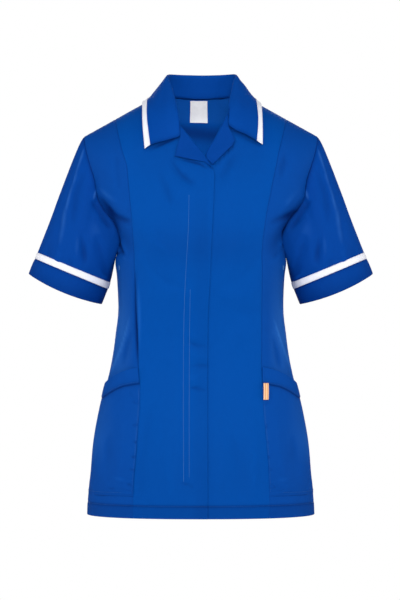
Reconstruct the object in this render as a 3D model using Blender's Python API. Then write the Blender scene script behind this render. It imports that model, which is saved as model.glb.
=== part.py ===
"""A nurse's tunic in its worn, filled-out form: hip length, short sleeves, collar and revers, side-front pockets.

Millimetres in the tables, metres in the meshes. Z is up, the front faces -Y, X is the wearer's left.
The origin is on the centre line between the two shoulder seams, at the height of their neck ends.
"""

import math

import bpy
import numpy as np

MM = 0.001
WALL = 1.2  # the cloth with its turned edges
THIN = 0.8  # tape, label and tab
GAP = 0.35  # between a piece and what it lies on
HALF_SEAM = 0.15  # each piece stops this far before its seam line
HEM_Z = -716.0

# The torso: height, half width, depth in front of the side seams, depth behind them, section exponent
TORSO = np.array(
    [
        (40, 214, 70, 80, 2.3),
        (0, 214, 78, 87, 2.3),
        (-47, 214, 88, 99, 2.3),
        (-74, 214, 94, 104, 2.3),
        (-110, 205, 103, 110, 2.3),
        (-145, 191.5, 112, 112, 2.3),
        (-160, 188, 116, 112, 2.32),
        (-177, 186, 120, 111, 2.36),
        (-194, 176.5, 124, 110, 2.46),
        (-229, 149, 131, 107, 2.78),
        (-246, 141, 134, 104, 2.86),
        (-262, 143, 135, 103, 2.84),
        (-284, 146.5, 134, 99, 2.76),
        (-304, 144.2, 131, 96, 2.7),
        (-330, 142.5, 125, 91, 2.62),
        (-377, 142.5, 112, 87, 2.48),
        (-404, 146, 107, 86, 2.4),
        (-432, 149.4, 104, 89, 2.35),
        (-460, 154, 104, 94, 2.3),
        (-528, 171, 111, 110, 2.3),
        (-583, 180.6, 120, 120, 2.3),
        (-638, 187.5, 127, 126, 2.3),
        (-693, 194, 133, 130, 2.3),
        (-716, 195, 135, 131, 2.3),
    ],
    float,
)[::-1]
SHOULDER_DROP = 0.554  # fall of the shoulder line per millimetre outward
SHOULDER_X = 77.0  # the shoulder line is at height 0 here
SHOULDER_CAP = 80.0  # height over which the front and the back round into the shoulder
NECK_X = 70.0  # neck end of the shoulder seam

# Seams and edges on the front, each from the top down: x, z
PRINCESS_RIGHT = [(-147.5, -39), (-135.2, -90), (-126.4, -118), (-123.8, -142), (-121, -172), (-117.8, -206),
                  (-115, -243), (-112.8, -283), (-111.8, -349), (-110, -400), (-106, -463), (-103, -493),
                  (-103.7, -533), (-106.6, -572), (-109.4, -610), (-113, -649), (-114.4, -695), (-114.8, -716)]
PRINCESS_LEFT = [(147.5, -39), (133.4, -92), (126, -130), (118.7, -165), (109.5, -213), (104.2, -260),
                 (103.8, -300), (103.4, -360), (103.5, -417), (103.5, -464), (104.3, -513), (107.1, -552),
                 (110.8, -590), (114, -629), (115.4, -695), (115.4, -716)]
NECK_RIGHT = [(-70, 3.9), (-68.6, -1), (-61, -17), (-48.5, -34), (-35.7, -52.7)]
NECK_LEFT = [(70, 3.9), (69, -0.5), (64, -13), (56, -23.5), (46.9, -30.8)]
ROLL_RIGHT = [(-35.7, -52.7), (-14.9, -78.4), (6.4, -105), (20.1, -128.7)]
ROLL_LEFT = [(46.9, -30.8), (27.3, -69), (7, -105)]
OVERLAP_EDGE = [(20.1, -128.7), (22.6, -141), (20.4, -198), (15.4, -307), (11.2, -417), (11.2, -716)]
UNDERLAP_EDGE = [(7, -105), (-8, -128), (-20, -146), (-23, -170), (-23, -716)]

# The armhole: angle round it from the shoulder, and where it is on the torso's section, in degrees
ARMHOLE = np.array([(0, 68.2), (30, 67.4), (60, 67.9), (90, 71), (110, 73.5), (130, 76.5), (150, 80), (165, 84),
                    (180, 90)], float)
ARMHOLE_LOW_Z = -262.0

# The right sleeve's cuff: centre of its lower edge, half widths across and through, height
CUFF_CENTRE = (-233.2, 0.0, -330.0)
CUFF_ACROSS = 67.8
CUFF_THROUGH = 57.0
CUFF_HEIGHT = 28.0
CUFF_DIP = 6.0  # the cuff is this much deeper in front and behind
CUFF_AXIS = np.array((-0.385, 0.0, -0.923))
CUFF_OUTWARD = np.array((-0.923, 0.0, 0.385))
TAPE_WIDTH = 11.0

# How a lengthwise line of the sleeve leaves the armhole: direction, and lengths of its two tangents
SLEEVE_TOP = ((-0.73, 0.0, -0.68), 0.09, 0.50)
SLEEVE_SIDE = ((-0.42, 0.22, -0.88), 0.30, 0.35)
SLEEVE_UNDER = ((-0.30, 0.0, -0.95), 0.35, 0.28)

# The collar's stations from the back to the wearer's right front: seam at the neck, roll, outer edge
COLLAR_BACK = ((0, 75.5, 1), (0, 62, 40.5), (0, 86, -8))
COLLAR_RIGHT = [((-30, 69.5, 1.5), (-27, 56, 41), (-36, 83, -9)),
                ((-55, 49, 2.5), (-46, 41, 41), (-68, 71, -10)),
                ((-67, 22, 3.5), (-56, 24, 39.5), (-91, 42, -11)),
                ((-70, 0, 3.9), (-58.5, 5, 35.5), (-99, 4, -11)),
                ((-67.5, -24, -3), (-55, -17, 25), (-99, -36, -24)),
                ((-61, -47, -17), (-49.5, -44, 6), (-98, -66, -44)),
                ((-49, -72, -34), (-43.5, -68, -18), (-96.5, -84, -68))]
COLLAR_LEFT = [((30, 69.5, 1.5), (28, 56, 41), (36, 83, -9)),
               ((55, 49, 2.5), (48, 41, 41), (69, 71, -10)),
               ((67, 22, 3.5), (59, 24, 40), (93, 42, -11)),
               ((70, 0, 3.9), (62, 5, 36), (102, 4, -11)),
               ((68.5, -18, -1), (58.5, -12, 27), (103, -32, -24)),
               ((64, -39, -13), (54.5, -36, 9), (103, -59, -41)),
               ((56, -60, -23), (50.5, -58, -9), (103.4, -76, -62))]
# The collar's front edge, from the gorge to the point: x, z
COLLAR_EDGE_RIGHT = [(-35.7, -52.7), (-35.2, -72.4), (-60, -81), (-83.3, -88.5), (-94, -94.5)]
COLLAR_EDGE_LEFT = [(46.9, -30.8), (46.4, -55.5), (68, -68), (90.5, -81), (103.2, -87.5)]
# The lapels' outer edges, from the gorge seam's lower end to the end of the roll: x, z
LAPEL_EDGE_RIGHT = [(-34.4, -73.6), (-39.5, -92), (-43.5, -107.5), (-18, -112.6), (6.3, -117.3), (17.5, -126.3)]
LAPEL_EDGE_LEFT = [(45.0, -57.6), (52, -68), (57.3, -80.5), (52, -90), (42.4, -99.2), (23.5, -123)]
LAPEL_ROLL_RIGHT = [(-34.8, -54.4), (-15.1, -79), (6.2, -105.6), (19.6, -129.3)]
LAPEL_ROLL_LEFT = [(45.3, -33.2), (28, -69), (9.4, -104), (20.8, -124.5)]

# A pocket on the side front: distance from the centre line, height of its mouth and of its band's lower seam
POCKET = np.array([(100, -462, -490), (118, -466.5, -493.5), (131, -471.5, -496.5), (143, -477, -502),
                   (153, -482.5, -507), (164, -487.5, -514)], float)
POCKET_LOW_Z = -680.0
POCKET_LIFT = 2.6  # how far a pocket stands off the front at the middle of its width
TAB = (104.8, 113.6, -490.5, -517.8)  # x from, x to, top z, bottom z
TAB_LIFT = 3.6  # between the side front and the tab
LABEL = (-18.9, 12.0, -2.5, -38.6)
LABEL_DEPTH = 2.3  # between the back and the label

# Finishes by part of a piece's name, first match: colour, roughness. The last is the body's blue twill
FINISHES = [("tape", (0.86, 0.87, 0.92, 1), 0.8), ("label", (0.9, 0.9, 0.92, 1), 0.4), ("tab", (0.92, 0.45, 0.12, 1), 0.6),
            ("side", (0.004, 0.065, 0.41, 1), 0.75), ("pocket", (0.004, 0.065, 0.41, 1), 0.75),
            ("", (0.003, 0.08, 0.45, 1), 0.75)]

for leftover in list(bpy.data.objects):
    bpy.data.objects.remove(leftover)


def torso_size(z, column):
    """A column of TORSO at this height, on a smooth curve through the rows."""
    heights, sizes = TORSO[:, 0], TORSO[:, column]
    slopes = np.gradient(sizes, heights)
    i = int(np.clip(np.searchsorted(heights, z) - 1, 0, len(heights) - 2))
    step = heights[i + 1] - heights[i]
    t = np.clip((z - heights[i]) / step, 0, 1)
    return (
        (2 * t**3 - 3 * t * t + 1) * sizes[i]
        + (t**3 - 2 * t * t + t) * step * slopes[i]
        + (3 * t * t - 2 * t**3) * sizes[i + 1]
        + (t**3 - t * t) * step * slopes[i + 1]
    )


def shoulder_z(x):
    return SHOULDER_DROP * (SHOULDER_X - abs(x))


def below_shoulder(q):
    """Drop below the shoulder line at the place q, as a share of SHOULDER_CAP."""
    return 1 - math.cos(q) if q < math.pi / 2 else 1 + q - math.pi / 2


def place_of(x, z):
    """(phi, q) of the torso's point at x and z: the angle round its section, and how far below the shoulder."""
    share = min(1.0, abs(x) / torso_size(z, 1))
    drop = max(0.0, (shoulder_z(x) - z) / SHOULDER_CAP)
    q = math.acos(1 - drop) if drop < 1 else math.pi / 2 + drop - 1
    return math.copysign(math.asin(share ** (torso_size(z, 4) / 2)), x), q


def torso(phi, q, side):
    """The torso's point, on the front where side is -1 and on the back where it is 1."""
    z = -80.0
    for _ in range(12):
        x = math.copysign(torso_size(z, 1) * abs(math.sin(phi)) ** (2 / torso_size(z, 4)), phi)
        z = shoulder_z(x) - SHOULDER_CAP * below_shoulder(q)
    depth = torso_size(z, 2 if side < 0 else 3) * max(0.0, math.cos(phi)) ** (2 / torso_size(z, 4))
    return np.array((x, side * (HALF_SEAM + depth * math.sin(min(q, math.pi / 2))), z))


def outward(phi, q, side):
    """The torso's unit normal."""
    step = 0.004
    phi = float(np.clip(phi, step - math.pi / 2, math.pi / 2 - step))
    q = max(q, 3 * step)
    across = torso(phi + step, q, side) - torso(phi - step, q, side)
    down = torso(phi, q + step, side) - torso(phi, q - step, side)
    normal = side * np.cross(across, down)
    return normal / np.linalg.norm(normal)


def on_torso(x, z, side, lift=0.0):
    phi, q = place_of(x, z)
    return torso(phi, q, side) + lift * outward(phi, q, side)


def along(points, count):
    """The points of a polyline at equal steps, on a smooth curve."""
    points = np.asarray(points, float)
    slopes = np.gradient(points, axis=0)
    found = []
    for t in np.linspace(0, len(points) - 1, count):
        i = min(int(t), len(points) - 2)
        u = t - i
        found.append(
            (2 * u**3 - 3 * u * u + 1) * points[i]
            + (u**3 - 2 * u * u + u) * slopes[i]
            + (3 * u * u - 2 * u**3) * points[i + 1]
            + (u**3 - u * u) * slopes[i + 1]
        )
    return np.array(found)


def solid(name, outer, inner, closed=False):
    """One closed body between two grids of points, in rows; closed joins each row's end to its start."""
    rows, columns = outer.shape[:2]
    points = np.concatenate([outer.reshape(-1, 3), inner.reshape(-1, 3)]) * MM
    under = rows * columns

    def at(r, c):
        return r * columns + c % columns

    triangles = []
    last = columns if closed else columns - 1
    for r in range(rows - 1):
        for c in range(last):
            i, j, k, m = at(r, c), at(r, c + 1), at(r + 1, c + 1), at(r + 1, c)
            triangles += [(i, j, k), (i, k, m), (under + k, under + j, under + i), (under + m, under + k, under + i)]
    border = []
    for c in range(last):
        border += [(at(0, c + 1), at(0, c)), (at(rows - 1, c), at(rows - 1, c + 1))]
    if not closed:
        for r in range(rows - 1):
            border += [(at(r, 0), at(r + 1, 0)), (at(r + 1, columns - 1), at(r, columns - 1))]
    for i, j in border:
        triangles += [(i, j, under + j), (i, under + j, under + i)]
    triangles = np.array(triangles)
    a, b, c = (points[triangles[:, k]] for k in range(3))
    if (a * np.cross(b, c)).sum() < 0:
        triangles = triangles[:, ::-1]
    mesh = bpy.data.meshes.new(name)
    mesh.from_pydata(points.tolist(), [], triangles.tolist())
    colour, roughness = next(finish for part, *finish in FINISHES if part in name)
    material = bpy.data.materials.new(name)
    material.use_nodes = True
    shader = material.node_tree.nodes["Principled BSDF"]
    shader.inputs["Base Color"].default_value = colour
    shader.inputs["Roughness"].default_value = roughness
    shader.inputs["Metallic"].default_value = 0.0
    mesh.materials.append(material)
    piece = bpy.data.objects.new(name, mesh)
    bpy.context.scene.collection.objects.link(piece)


def mirrored(grid):
    return grid * np.array((-1.0, 1.0, 1.0))


def hem_q(x):
    return place_of(x, HEM_Z)[1]


def edge(line, shift=0.0):
    """A seam or edge as (share of the way from shoulder to hem, phi), from a list of x and z."""
    found = []
    for x, z in along(line, 6 * len(line)):
        phi, q = place_of(x + shift, z)
        found.append((q / hem_q(x + shift), phi))
    found[0] = (0.0, found[0][1]) if found[0][0] < 0.02 else found[0]
    return np.array(found)


def armhole(angle):
    """(phi, q) on the right armhole at this angle, from 0 at the shoulder to 180 under the arm."""
    turns = np.radians(ARMHOLE[:, 0])
    phi = -math.radians(float(np.interp(math.radians(angle), turns, ARMHOLE[:, 1])))
    tip = torso_size(-70, 1) * math.sin(math.radians(ARMHOLE[0, 1])) ** (2 / torso_size(-70, 4))
    top = shoulder_z(tip)
    share = (1 - math.cos(math.radians(angle))) / 2
    z = top + (ARMHOLE_LOW_Z - top) * share
    x = torso_size(z, 1) * abs(math.sin(phi)) ** (2 / torso_size(z, 4))
    return phi, place_of(x, z)[1]


def side_edge():
    """The right armhole and side seam as (share from shoulder to hem, phi), with a row at each angle of AROUND."""
    found = []
    for angle in AROUND[AROUND <= 180]:
        phi, q = armhole(angle)
        x = torso(phi, q, -1)[0]
        found.append((q / hem_q(x), phi))
    found.append((1.0, -math.pi / 2))
    return np.array(found)


# The torso's rows: one where each lengthwise line of a sleeve starts, then even ones down to the hem
AROUND = np.arange(0, 360, 15.0)
sides = side_edge()
ROWS = np.concatenate([sides[:-1, 0], np.linspace(sides[-2, 0], 1, 15)[1:]])


def evenly(columns, centred):
    """Places across a panel from 0 to 1, closer together at the middle where the panel is centred."""
    across = np.linspace(-1, 1, columns) if centred else np.linspace(0, 1, columns)
    return (1 + np.sign(across) * np.abs(across) ** 1.3) / 2 if centred else across


def panel(name, side, left, right, columns, top=None, sunk=None):
    """A piece of the torso between two edges; top gives the share at which each column starts."""
    places = evenly(columns, top is not None)
    outer = np.empty((len(ROWS), columns, 3))
    inner = outer.copy()
    for r, row in enumerate(ROWS):
        start = np.interp(row, left[:, 0], left[:, 1])
        end = np.interp(row, right[:, 0], right[:, 1])
        for c, place in enumerate(places):
            phi = start + (end - start) * place
            q = row * 9
            for _ in range(6):
                x = torso(phi, q, side)[0]
                share = row if top is None else top(x) + (1 - top(x)) * row
                q = share * hem_q(x)
            normal = outward(phi, q, side)
            point = torso(phi, q, side)
            if sunk is not None:
                point = point - sunk(point[0], point[2]) * normal
            outer[r, c] = point
            inner[r, c] = point - WALL * normal
    solid(name, outer, inner)


def back_neck(x):
    """Share at which the back starts below the neck seam."""
    if abs(x) >= NECK_X:
        return 0.0
    seam = shoulder_z(NECK_X) * (abs(x) / NECK_X) ** 2
    return place_of(x, seam)[1] / hem_q(x)


def under_overlap(x, z):
    """Depth of the left front below the right front that lies on it."""
    line = np.array(ROLL_RIGHT + OVERLAP_EDGE[1:])[::-1]
    t = np.clip((np.interp(z, line[:, 1], line[:, 0]) + 30 - x) / 24, 0, 1)
    return (WALL + GAP + 0.5) * t * t * (3 - 2 * t)


# The torso's pieces: back, two fronts, two side fronts
mirror_sides = sides * np.array((1.0, -1.0))
panel("back", 1, sides, mirror_sides, 21, top=back_neck)
panel("front_centre_right", -1, edge(PRINCESS_RIGHT, HALF_SEAM),
      edge(NECK_RIGHT + ROLL_RIGHT[1:] + OVERLAP_EDGE[1:]), 9)
panel("front_centre_left", -1, edge(NECK_LEFT + ROLL_LEFT[1:] + UNDERLAP_EDGE[1:]),
      edge(PRINCESS_LEFT, -HALF_SEAM), 12, sunk=under_overlap)
panel("front_side_right", -1, sides, edge(PRINCESS_RIGHT, -HALF_SEAM), 6)
panel("front_side_left", -1, edge(PRINCESS_LEFT, HALF_SEAM), mirror_sides, 6)


def cuff_point(angle, height):
    """A point of the right cuff's ring, this far above its lower edge's plane."""
    turn = math.radians(angle)
    return (
        np.array(CUFF_CENTRE)
        - height * CUFF_AXIS
        + CUFF_ACROSS * math.cos(turn) * CUFF_OUTWARD
        - np.array((0, CUFF_THROUGH * math.sin(turn), 0))
    )


def sleeve_line(angle):
    """(start, frame at the start, four Bezier points) of the right sleeve's lengthwise line at this angle."""
    front = angle <= 180
    side = -1 if front else 1
    folded = angle if front else 360 - angle
    phi, q = armhole(folded)
    start = torso(phi, q, side)
    normal = outward(phi, q, side)
    before, after = (torso(*armhole(float(np.clip(folded + d, 0, 180))), side) for d in (-3, 3))
    tangent = (after - before) / np.linalg.norm(after - before)
    away = np.cross(normal, tangent)
    away /= np.linalg.norm(away)
    if away @ (start - torso(phi + 0.1, q + 0.3, side)) < 0:
        away = -away
    turn = math.radians(angle)
    shares = (max(0, math.cos(turn)) ** 2, math.sin(turn) ** 2, max(0, -math.cos(turn)) ** 2)
    leave = np.zeros(3)
    first = second = 0.0
    for share, (way, near, far) in zip(shares, (SLEEVE_TOP, SLEEVE_SIDE, SLEEVE_UNDER), strict=True):
        leave += share * np.array(way) * (1, side * abs(math.sin(turn)), 1)
        first += share * near
        second += share * far
    leave /= np.linalg.norm(leave)
    bend = max(0.0, math.atan2(leave @ normal, leave @ away))
    inward = -normal * math.cos(bend) + away * math.sin(bend)
    start = start + 0.25 * (1 - math.cos(bend)) * normal + GAP * away
    end = cuff_point(angle, CUFF_HEIGHT + GAP)
    length = np.linalg.norm(end - start)
    controls = (start, start + first * length * leave, end - second * length * CUFF_AXIS, end)
    return inward, controls, second * length


def bezier(controls, t):
    a, b, c, d = controls
    return (1 - t) ** 3 * a + 3 * t * (1 - t) ** 2 * b + 3 * t * t * (1 - t) * c + t**3 * d


def tube_inward(grid):
    """Unit normals of a tube's grid of rows, pointing into it."""
    round_it = np.roll(grid, -1, axis=1) - np.roll(grid, 1, axis=1)
    down = np.gradient(grid, axis=0)
    normal = np.cross(round_it, down)
    normal /= np.linalg.norm(normal, axis=2, keepdims=True)
    centre = grid.mean(axis=1, keepdims=True)
    return normal if (normal * (centre - grid)).sum() > 0 else -normal


# The sleeves, with the cuffs and the tapes above them
LENGTHWISE = (0, 0.04, 0.1, 0.18, 0.28, 0.4, 0.52, 0.64, 0.76, 0.88, 1)
lines = [sleeve_line(float(angle)) for angle in AROUND]
sleeve = np.array([[bezier(line[1], t) for line in lines] for t in LENGTHWISE])
into = tube_inward(sleeve)
starts = np.array([line[0] for line in lines])
for row, share in ((0, 1.0), (1, 0.4)):
    into[row] = share * starts + (1 - share) * into[row]
    into[row] /= np.linalg.norm(into[row], axis=1, keepdims=True)
cuff = np.array(
    [
        [
            cuff_point(angle, height * CUFF_HEIGHT)
            + (1 - height) * CUFF_DIP * math.sin(math.radians(angle)) ** 2 * CUFF_AXIS
            for angle in AROUND
        ]
        for height in (1, 0.5, 0)
    ]
)
tape = np.array(
    [[bezier(line[1], 1 - width / (3 * line[2])) for line in lines] for width in (TAPE_WIDTH, 0.5 * TAPE_WIDTH, 0)]
)
tape_in = tube_inward(tape)
cuff_in = tube_inward(cuff)
for hand, turned in (("right", lambda grid: grid), ("left", mirrored)):
    solid(f"sleeve_{hand}", turned(sleeve), turned(sleeve + WALL * into), closed=True)
    solid(f"cuff_{hand}", turned(cuff), turned(cuff + WALL * cuff_in), closed=True)
    solid(f"cuff_tape_{hand}", turned(tape - (GAP + THIN) * tape_in), turned(tape - GAP * tape_in), closed=True)


def clear_of_torso(point, lift):
    """The point, moved out where it is nearer than lift to the torso."""
    if point[2] > shoulder_z(point[0]) + lift:
        return point
    side = -1 if point[1] < 0 else 1
    phi, q = place_of(point[0], point[2])
    normal = outward(phi, q, side)
    above = (point - torso(phi, q, side)) @ normal
    return point + max(0.0, lift - above) * normal


FALL = (0.1, 0.25, 0.42, 0.6)  # places across the fall from the roll; then the tape's inner edge and the rim
FALL_LIFT = 3.0


def collar_section(seam, roll, rim):
    """The collar's middle surface at a station, from the neck seam over the roll to the outer edge."""
    seam, roll, rim = (np.array(p, float) for p in (seam, roll, rim))
    away = (rim - seam) * (1, 1, 0)
    away /= np.linalg.norm(away)
    base = seam - (0.6 + GAP) * away + np.array((0, 0, 0.7))
    points = [base, base + 0.5 * (roll - base) - 0.5 * away, roll - 2.4 * away + np.array((0, 0, -2.4)), roll]
    start = roll + 2.4 * away + np.array((0, 0, -2.4))
    for share in (*FALL, 1 - TAPE_WIDTH / np.linalg.norm(rim - start), 1):
        point = start + share * (rim - start) + 5 * share * (1 - share) * np.array((0, 0, 1.0))
        points.append(clear_of_torso(point, FALL_LIFT))
    return points


def collar_end(line):
    """The collar's middle surface along its front edge."""
    line = np.array(line, float)
    gorge = on_torso(*line[0], -1, 0.9)
    high = on_torso(*line[0], -1, 4.2)
    up = np.array((0, 0, 1.0))
    points = [gorge + 3.6 * up, (gorge + high) / 2 + 4 * up, high + 3.4 * up, high + 1.8 * up]
    lengths = np.concatenate([[0], np.cumsum(np.linalg.norm(np.diff(line, axis=0), axis=1))])
    for share in (*FALL, 1 - TAPE_WIDTH / lengths[-1], 1):
        at = share * lengths[-1]
        points.append(on_torso(np.interp(at, lengths, line[:, 0]), np.interp(at, lengths, line[:, 1]), -1, FALL_LIFT))
    return points


stations = (
    [collar_end(COLLAR_EDGE_RIGHT)]
    + [collar_section(*s) for s in reversed(COLLAR_RIGHT)]
    + [collar_section(*COLLAR_BACK)]
    + [collar_section(*s) for s in COLLAR_LEFT]
    + [collar_end(COLLAR_EDGE_LEFT)]
)
stations = np.array(stations)
collar = np.stack([along(stations[:, k], 2 * len(stations) - 1) for k in range(stations.shape[1])])
for row in collar[-len(FALL) - 2 :]:
    row[:] = [clear_of_torso(point, FALL_LIFT) for point in row]
away = np.cross(np.gradient(collar, axis=1), np.gradient(collar, axis=0))
away /= np.linalg.norm(away, axis=2, keepdims=True)
middle = collar.shape[1] // 2
if away[-2, middle, 1] < 0:
    away = -away
solid("collar", collar + WALL / 2 * away, collar - WALL / 2 * away)

# The white tape lies on the fall, along its outer edge
tape = collar[-2:] + (WALL / 2 + GAP) * away[-2:]
solid("collar_tape", tape + THIN * away[-2:], tape)


def lapel(name, roll, rim):
    """A turned-back lapel between its roll and its outer edge; it stands off the front towards the edge."""
    roll, rim = along(roll, 10), along(rim, 10)
    outer = np.empty((10, 6, 3))
    inner = outer.copy()
    for r in range(10):
        for c in range(6):
            x, z = roll[r] + (rim[r] - roll[r]) * c / 5
            rise = GAP + 2.2 * math.sin(math.pi / 2 * c / 5)
            inner[r, c] = on_torso(x, z, -1, rise)
            outer[r, c] = on_torso(x, z, -1, rise + WALL)
    solid(name, outer, inner)


lapel("lapel_right", LAPEL_ROLL_RIGHT, LAPEL_EDGE_RIGHT)
lapel("lapel_left", LAPEL_ROLL_LEFT, LAPEL_EDGE_LEFT)


def patch(name, side, hand, heights, span, base, thick, columns=2):
    """A piece that lies on the torso: heights gives each row's z from x, span its two phi from z."""
    outer = np.empty((len(heights), columns, 3))
    inner = outer.copy()
    for r, height in enumerate(heights):
        for c in range(columns):
            x = 130.0
            for _ in range(6):
                z = height(x)
                near, far = span(z)
                phi = near + (far - near) * c / (columns - 1)
                x = torso_size(z, 1) * abs(math.sin(phi)) ** (2 / torso_size(z, 4))
            rise = base(c / (columns - 1), r / (len(heights) - 1))
            q = place_of(x, z)[1]
            point, normal = torso(hand * phi, q, side), outward(hand * phi, q, side)
            inner[r, c] = point + rise * normal
            outer[r, c] = point + (rise + thick) * normal
    solid(name, outer, inner)


def pocket_span(line):
    """The two phi of a pocket at a height: beside the princess seam, and at the side seam."""
    line = np.array(line)[::-1]
    return lambda z: (place_of(abs(np.interp(z, line[:, 1], line[:, 0])) + HALF_SEAM + 0.3, z)[0],
                      math.pi / 2 - 0.004)


def level(share):
    """Height of a pocket's row below the band, from its seam to the pocket's bottom."""
    return lambda x: np.interp(x, POCKET[:, 0], POCKET[:, 2]) * (1 - share) + POCKET_LOW_Z * share - 0.2 * (1 - share)


def band_level(share):
    """Height of a band's row, from the mouth to the band's lower seam."""
    return lambda x: (np.interp(x, POCKET[:, 0], POCKET[:, 1]) * (1 - share)
                      + (np.interp(x, POCKET[:, 0], POCKET[:, 2]) + 0.2) * share)


def pocket_rise(u, v):
    return GAP + 0.2 + POCKET_LIFT * math.sin(math.pi * u) ** 0.7 * (1 - v**2) + 1.2 * u * (1 - v)


def band_rise(u, v):
    return GAP + 0.2 + (POCKET_LIFT + 1.2 * (1 - v)) * math.sin(math.pi * u) ** 0.7 + 1.2 * u


for hand, sign, seam in (("right", -1, PRINCESS_RIGHT), ("left", 1, PRINCESS_LEFT)):
    patch(f"pocket_band_{hand}", -1, sign, [band_level(s) for s in (0, 0.5, 1)], pocket_span(seam),
          band_rise, WALL + 0.5, 8)
    patch(f"pocket_{hand}", -1, sign, [level(s) for s in np.linspace(0, 1, 8)], pocket_span(seam),
          pocket_rise, WALL, 8)


def flat_piece(name, box, side, low, thick, hand=1):
    """A small oblong that lies on the torso, from low to low + thick above it."""
    x_from, x_to, top, bottom = box
    grid = [[(x, z) for x in np.linspace(x_from, x_to, 4)] for z in np.linspace(top, bottom, 5)]
    outer = np.array([[on_torso(x, z, side, low(x, z) + thick) for x, z in row] for row in grid])
    inner = np.array([[on_torso(x, z, side, low(x, z)) for x, z in row] for row in grid])
    solid(name, outer, inner)


# The maker's tab hangs over the left pocket from its band's seam; the neck label is inside the back
flat_piece("pocket_tab", TAB, -1, lambda x, z: TAB_LIFT, THIN)
flat_piece("neck_label", LABEL, 1, lambda x, z: -WALL - THIN - LABEL_DEPTH, THIN)
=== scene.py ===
"""A nurse's tunic in its worn, filled-out form, dressed over its CAD frame.

Sizes are in millimetres until a mesh is made, and metres there. Z is up, the front faces -Y and X is the wearer's
left. The origin is on the centre line between the neck ends of the two shoulder seams.
"""

import math

import bpy
import numpy as np
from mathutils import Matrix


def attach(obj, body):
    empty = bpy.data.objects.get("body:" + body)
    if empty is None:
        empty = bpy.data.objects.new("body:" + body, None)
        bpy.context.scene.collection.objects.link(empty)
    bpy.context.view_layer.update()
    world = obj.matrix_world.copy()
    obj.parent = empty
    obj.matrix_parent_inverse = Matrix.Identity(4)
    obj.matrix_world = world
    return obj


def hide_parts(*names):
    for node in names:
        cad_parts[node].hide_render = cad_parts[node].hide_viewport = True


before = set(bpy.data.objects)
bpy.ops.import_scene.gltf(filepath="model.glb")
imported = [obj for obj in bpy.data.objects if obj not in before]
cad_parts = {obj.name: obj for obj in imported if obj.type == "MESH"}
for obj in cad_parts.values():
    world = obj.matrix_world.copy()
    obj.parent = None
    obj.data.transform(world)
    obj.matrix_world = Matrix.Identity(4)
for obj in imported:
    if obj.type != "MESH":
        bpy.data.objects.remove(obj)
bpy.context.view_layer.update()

# The camera stands level in front of the tunic and 5 m off, as for a catalogue picture.
# Its long lens takes in 1.03 m of height at the side seams.
view = bpy.data.cameras.new("catalogue_view")
view.sensor_width = 36
view.lens = 174.4
camera = bpy.data.objects.new("camera", view)
camera.location = (-0.0014, -5.0, -0.3492)
camera.rotation_euler = (math.pi / 2, 0, 0)
bpy.context.scene.collection.objects.link(camera)
bpy.context.scene.camera = camera
bpy.context.scene.view_settings.view_transform = "Standard"

# The filled-out body: the smooth form that the back, fronts and side fronts hang in, from the shoulders to the hem.
# Its rows are height, half width, depth in front of the side seams, depth behind them, and section exponent.
TORSO = np.array(
    [
        (40, 214, 70, 80, 2.3), (0, 214, 78, 87, 2.3), (-47, 214, 88, 99, 2.3), (-74, 214, 94, 104, 2.3),
        (-110, 205, 103, 110, 2.3), (-145, 191.5, 112, 112, 2.3), (-160, 188, 116, 112, 2.32),
        (-177, 186, 120, 111, 2.36), (-194, 176.5, 124, 110, 2.46), (-229, 149, 131, 107, 2.78),
        (-246, 141, 134, 104, 2.86), (-262, 143, 135, 103, 2.84), (-284, 146.5, 134, 99, 2.76),
        (-304, 144.2, 131, 96, 2.7), (-330, 142.5, 125, 91, 2.62), (-377, 142.5, 112, 87, 2.48),
        (-404, 146, 107, 86, 2.4), (-432, 149.4, 104, 89, 2.35), (-460, 154, 104, 94, 2.3),
        (-528, 171, 111, 110, 2.3), (-583, 180.6, 120, 120, 2.3), (-638, 187.5, 127, 126, 2.3),
        (-693, 194, 133, 130, 2.3), (-716, 195, 135, 131, 2.3),
    ],
    float,
)[::-1]
SHOULDER_DROP = 0.554  # fall of the shoulder line per millimetre outward
SHOULDER_X = 77.0
SHOULDER_CAP = 80.0  # height over which front and back round into the shoulder
NECK_X = 70.0
HEM_Z = -716.0
HALF_SEAM = 0.15
MM = 0.001


def hermite(table, i, t, slopes):
    """Points of a smooth curve through a table's rows, at the share t of the way from row i to the next."""
    t = np.reshape(t, np.shape(t) + (1,) * (np.ndim(table) - 1))
    return (
        (2 * t**3 - 3 * t * t + 1) * table[i]
        + (t**3 - 2 * t * t + t) * slopes[i]
        + (3 * t * t - 2 * t**3) * table[i + 1]
        + (t**3 - t * t) * slopes[i + 1]
    )


def along(points, count):
    """The points of a line of points, or of grids, at equal steps on a smooth curve."""
    points = np.asarray(points, float)
    t = np.linspace(0, len(points) - 1, count)
    i = np.minimum(t.astype(int), len(points) - 2)
    return hermite(points, i, t - i, np.gradient(points, axis=0))


LEVELS = np.arange(-740.0, 60.0)
row = np.clip(np.searchsorted(TORSO[:, 0], LEVELS) - 1, 0, len(TORSO) - 2)
step = np.diff(TORSO[:, 0])[row]
rate = np.gradient(TORSO, TORSO[:, 0], axis=0)
part = np.clip((LEVELS - TORSO[row, 0]) / step, 0, 1)[:, None]
SIZES = (
    (2 * part**3 - 3 * part**2 + 1) * TORSO[row]
    + (part**3 - 2 * part**2 + part) * step[:, None] * rate[row]
    + (3 * part**2 - 2 * part**3) * TORSO[row + 1]
    + (part**3 - part**2) * step[:, None] * rate[row + 1]
)


def torso_size(z, column):
    return np.interp(z, LEVELS, SIZES[:, column])


def shoulder_z(x):
    return SHOULDER_DROP * (SHOULDER_X - np.abs(x))


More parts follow.
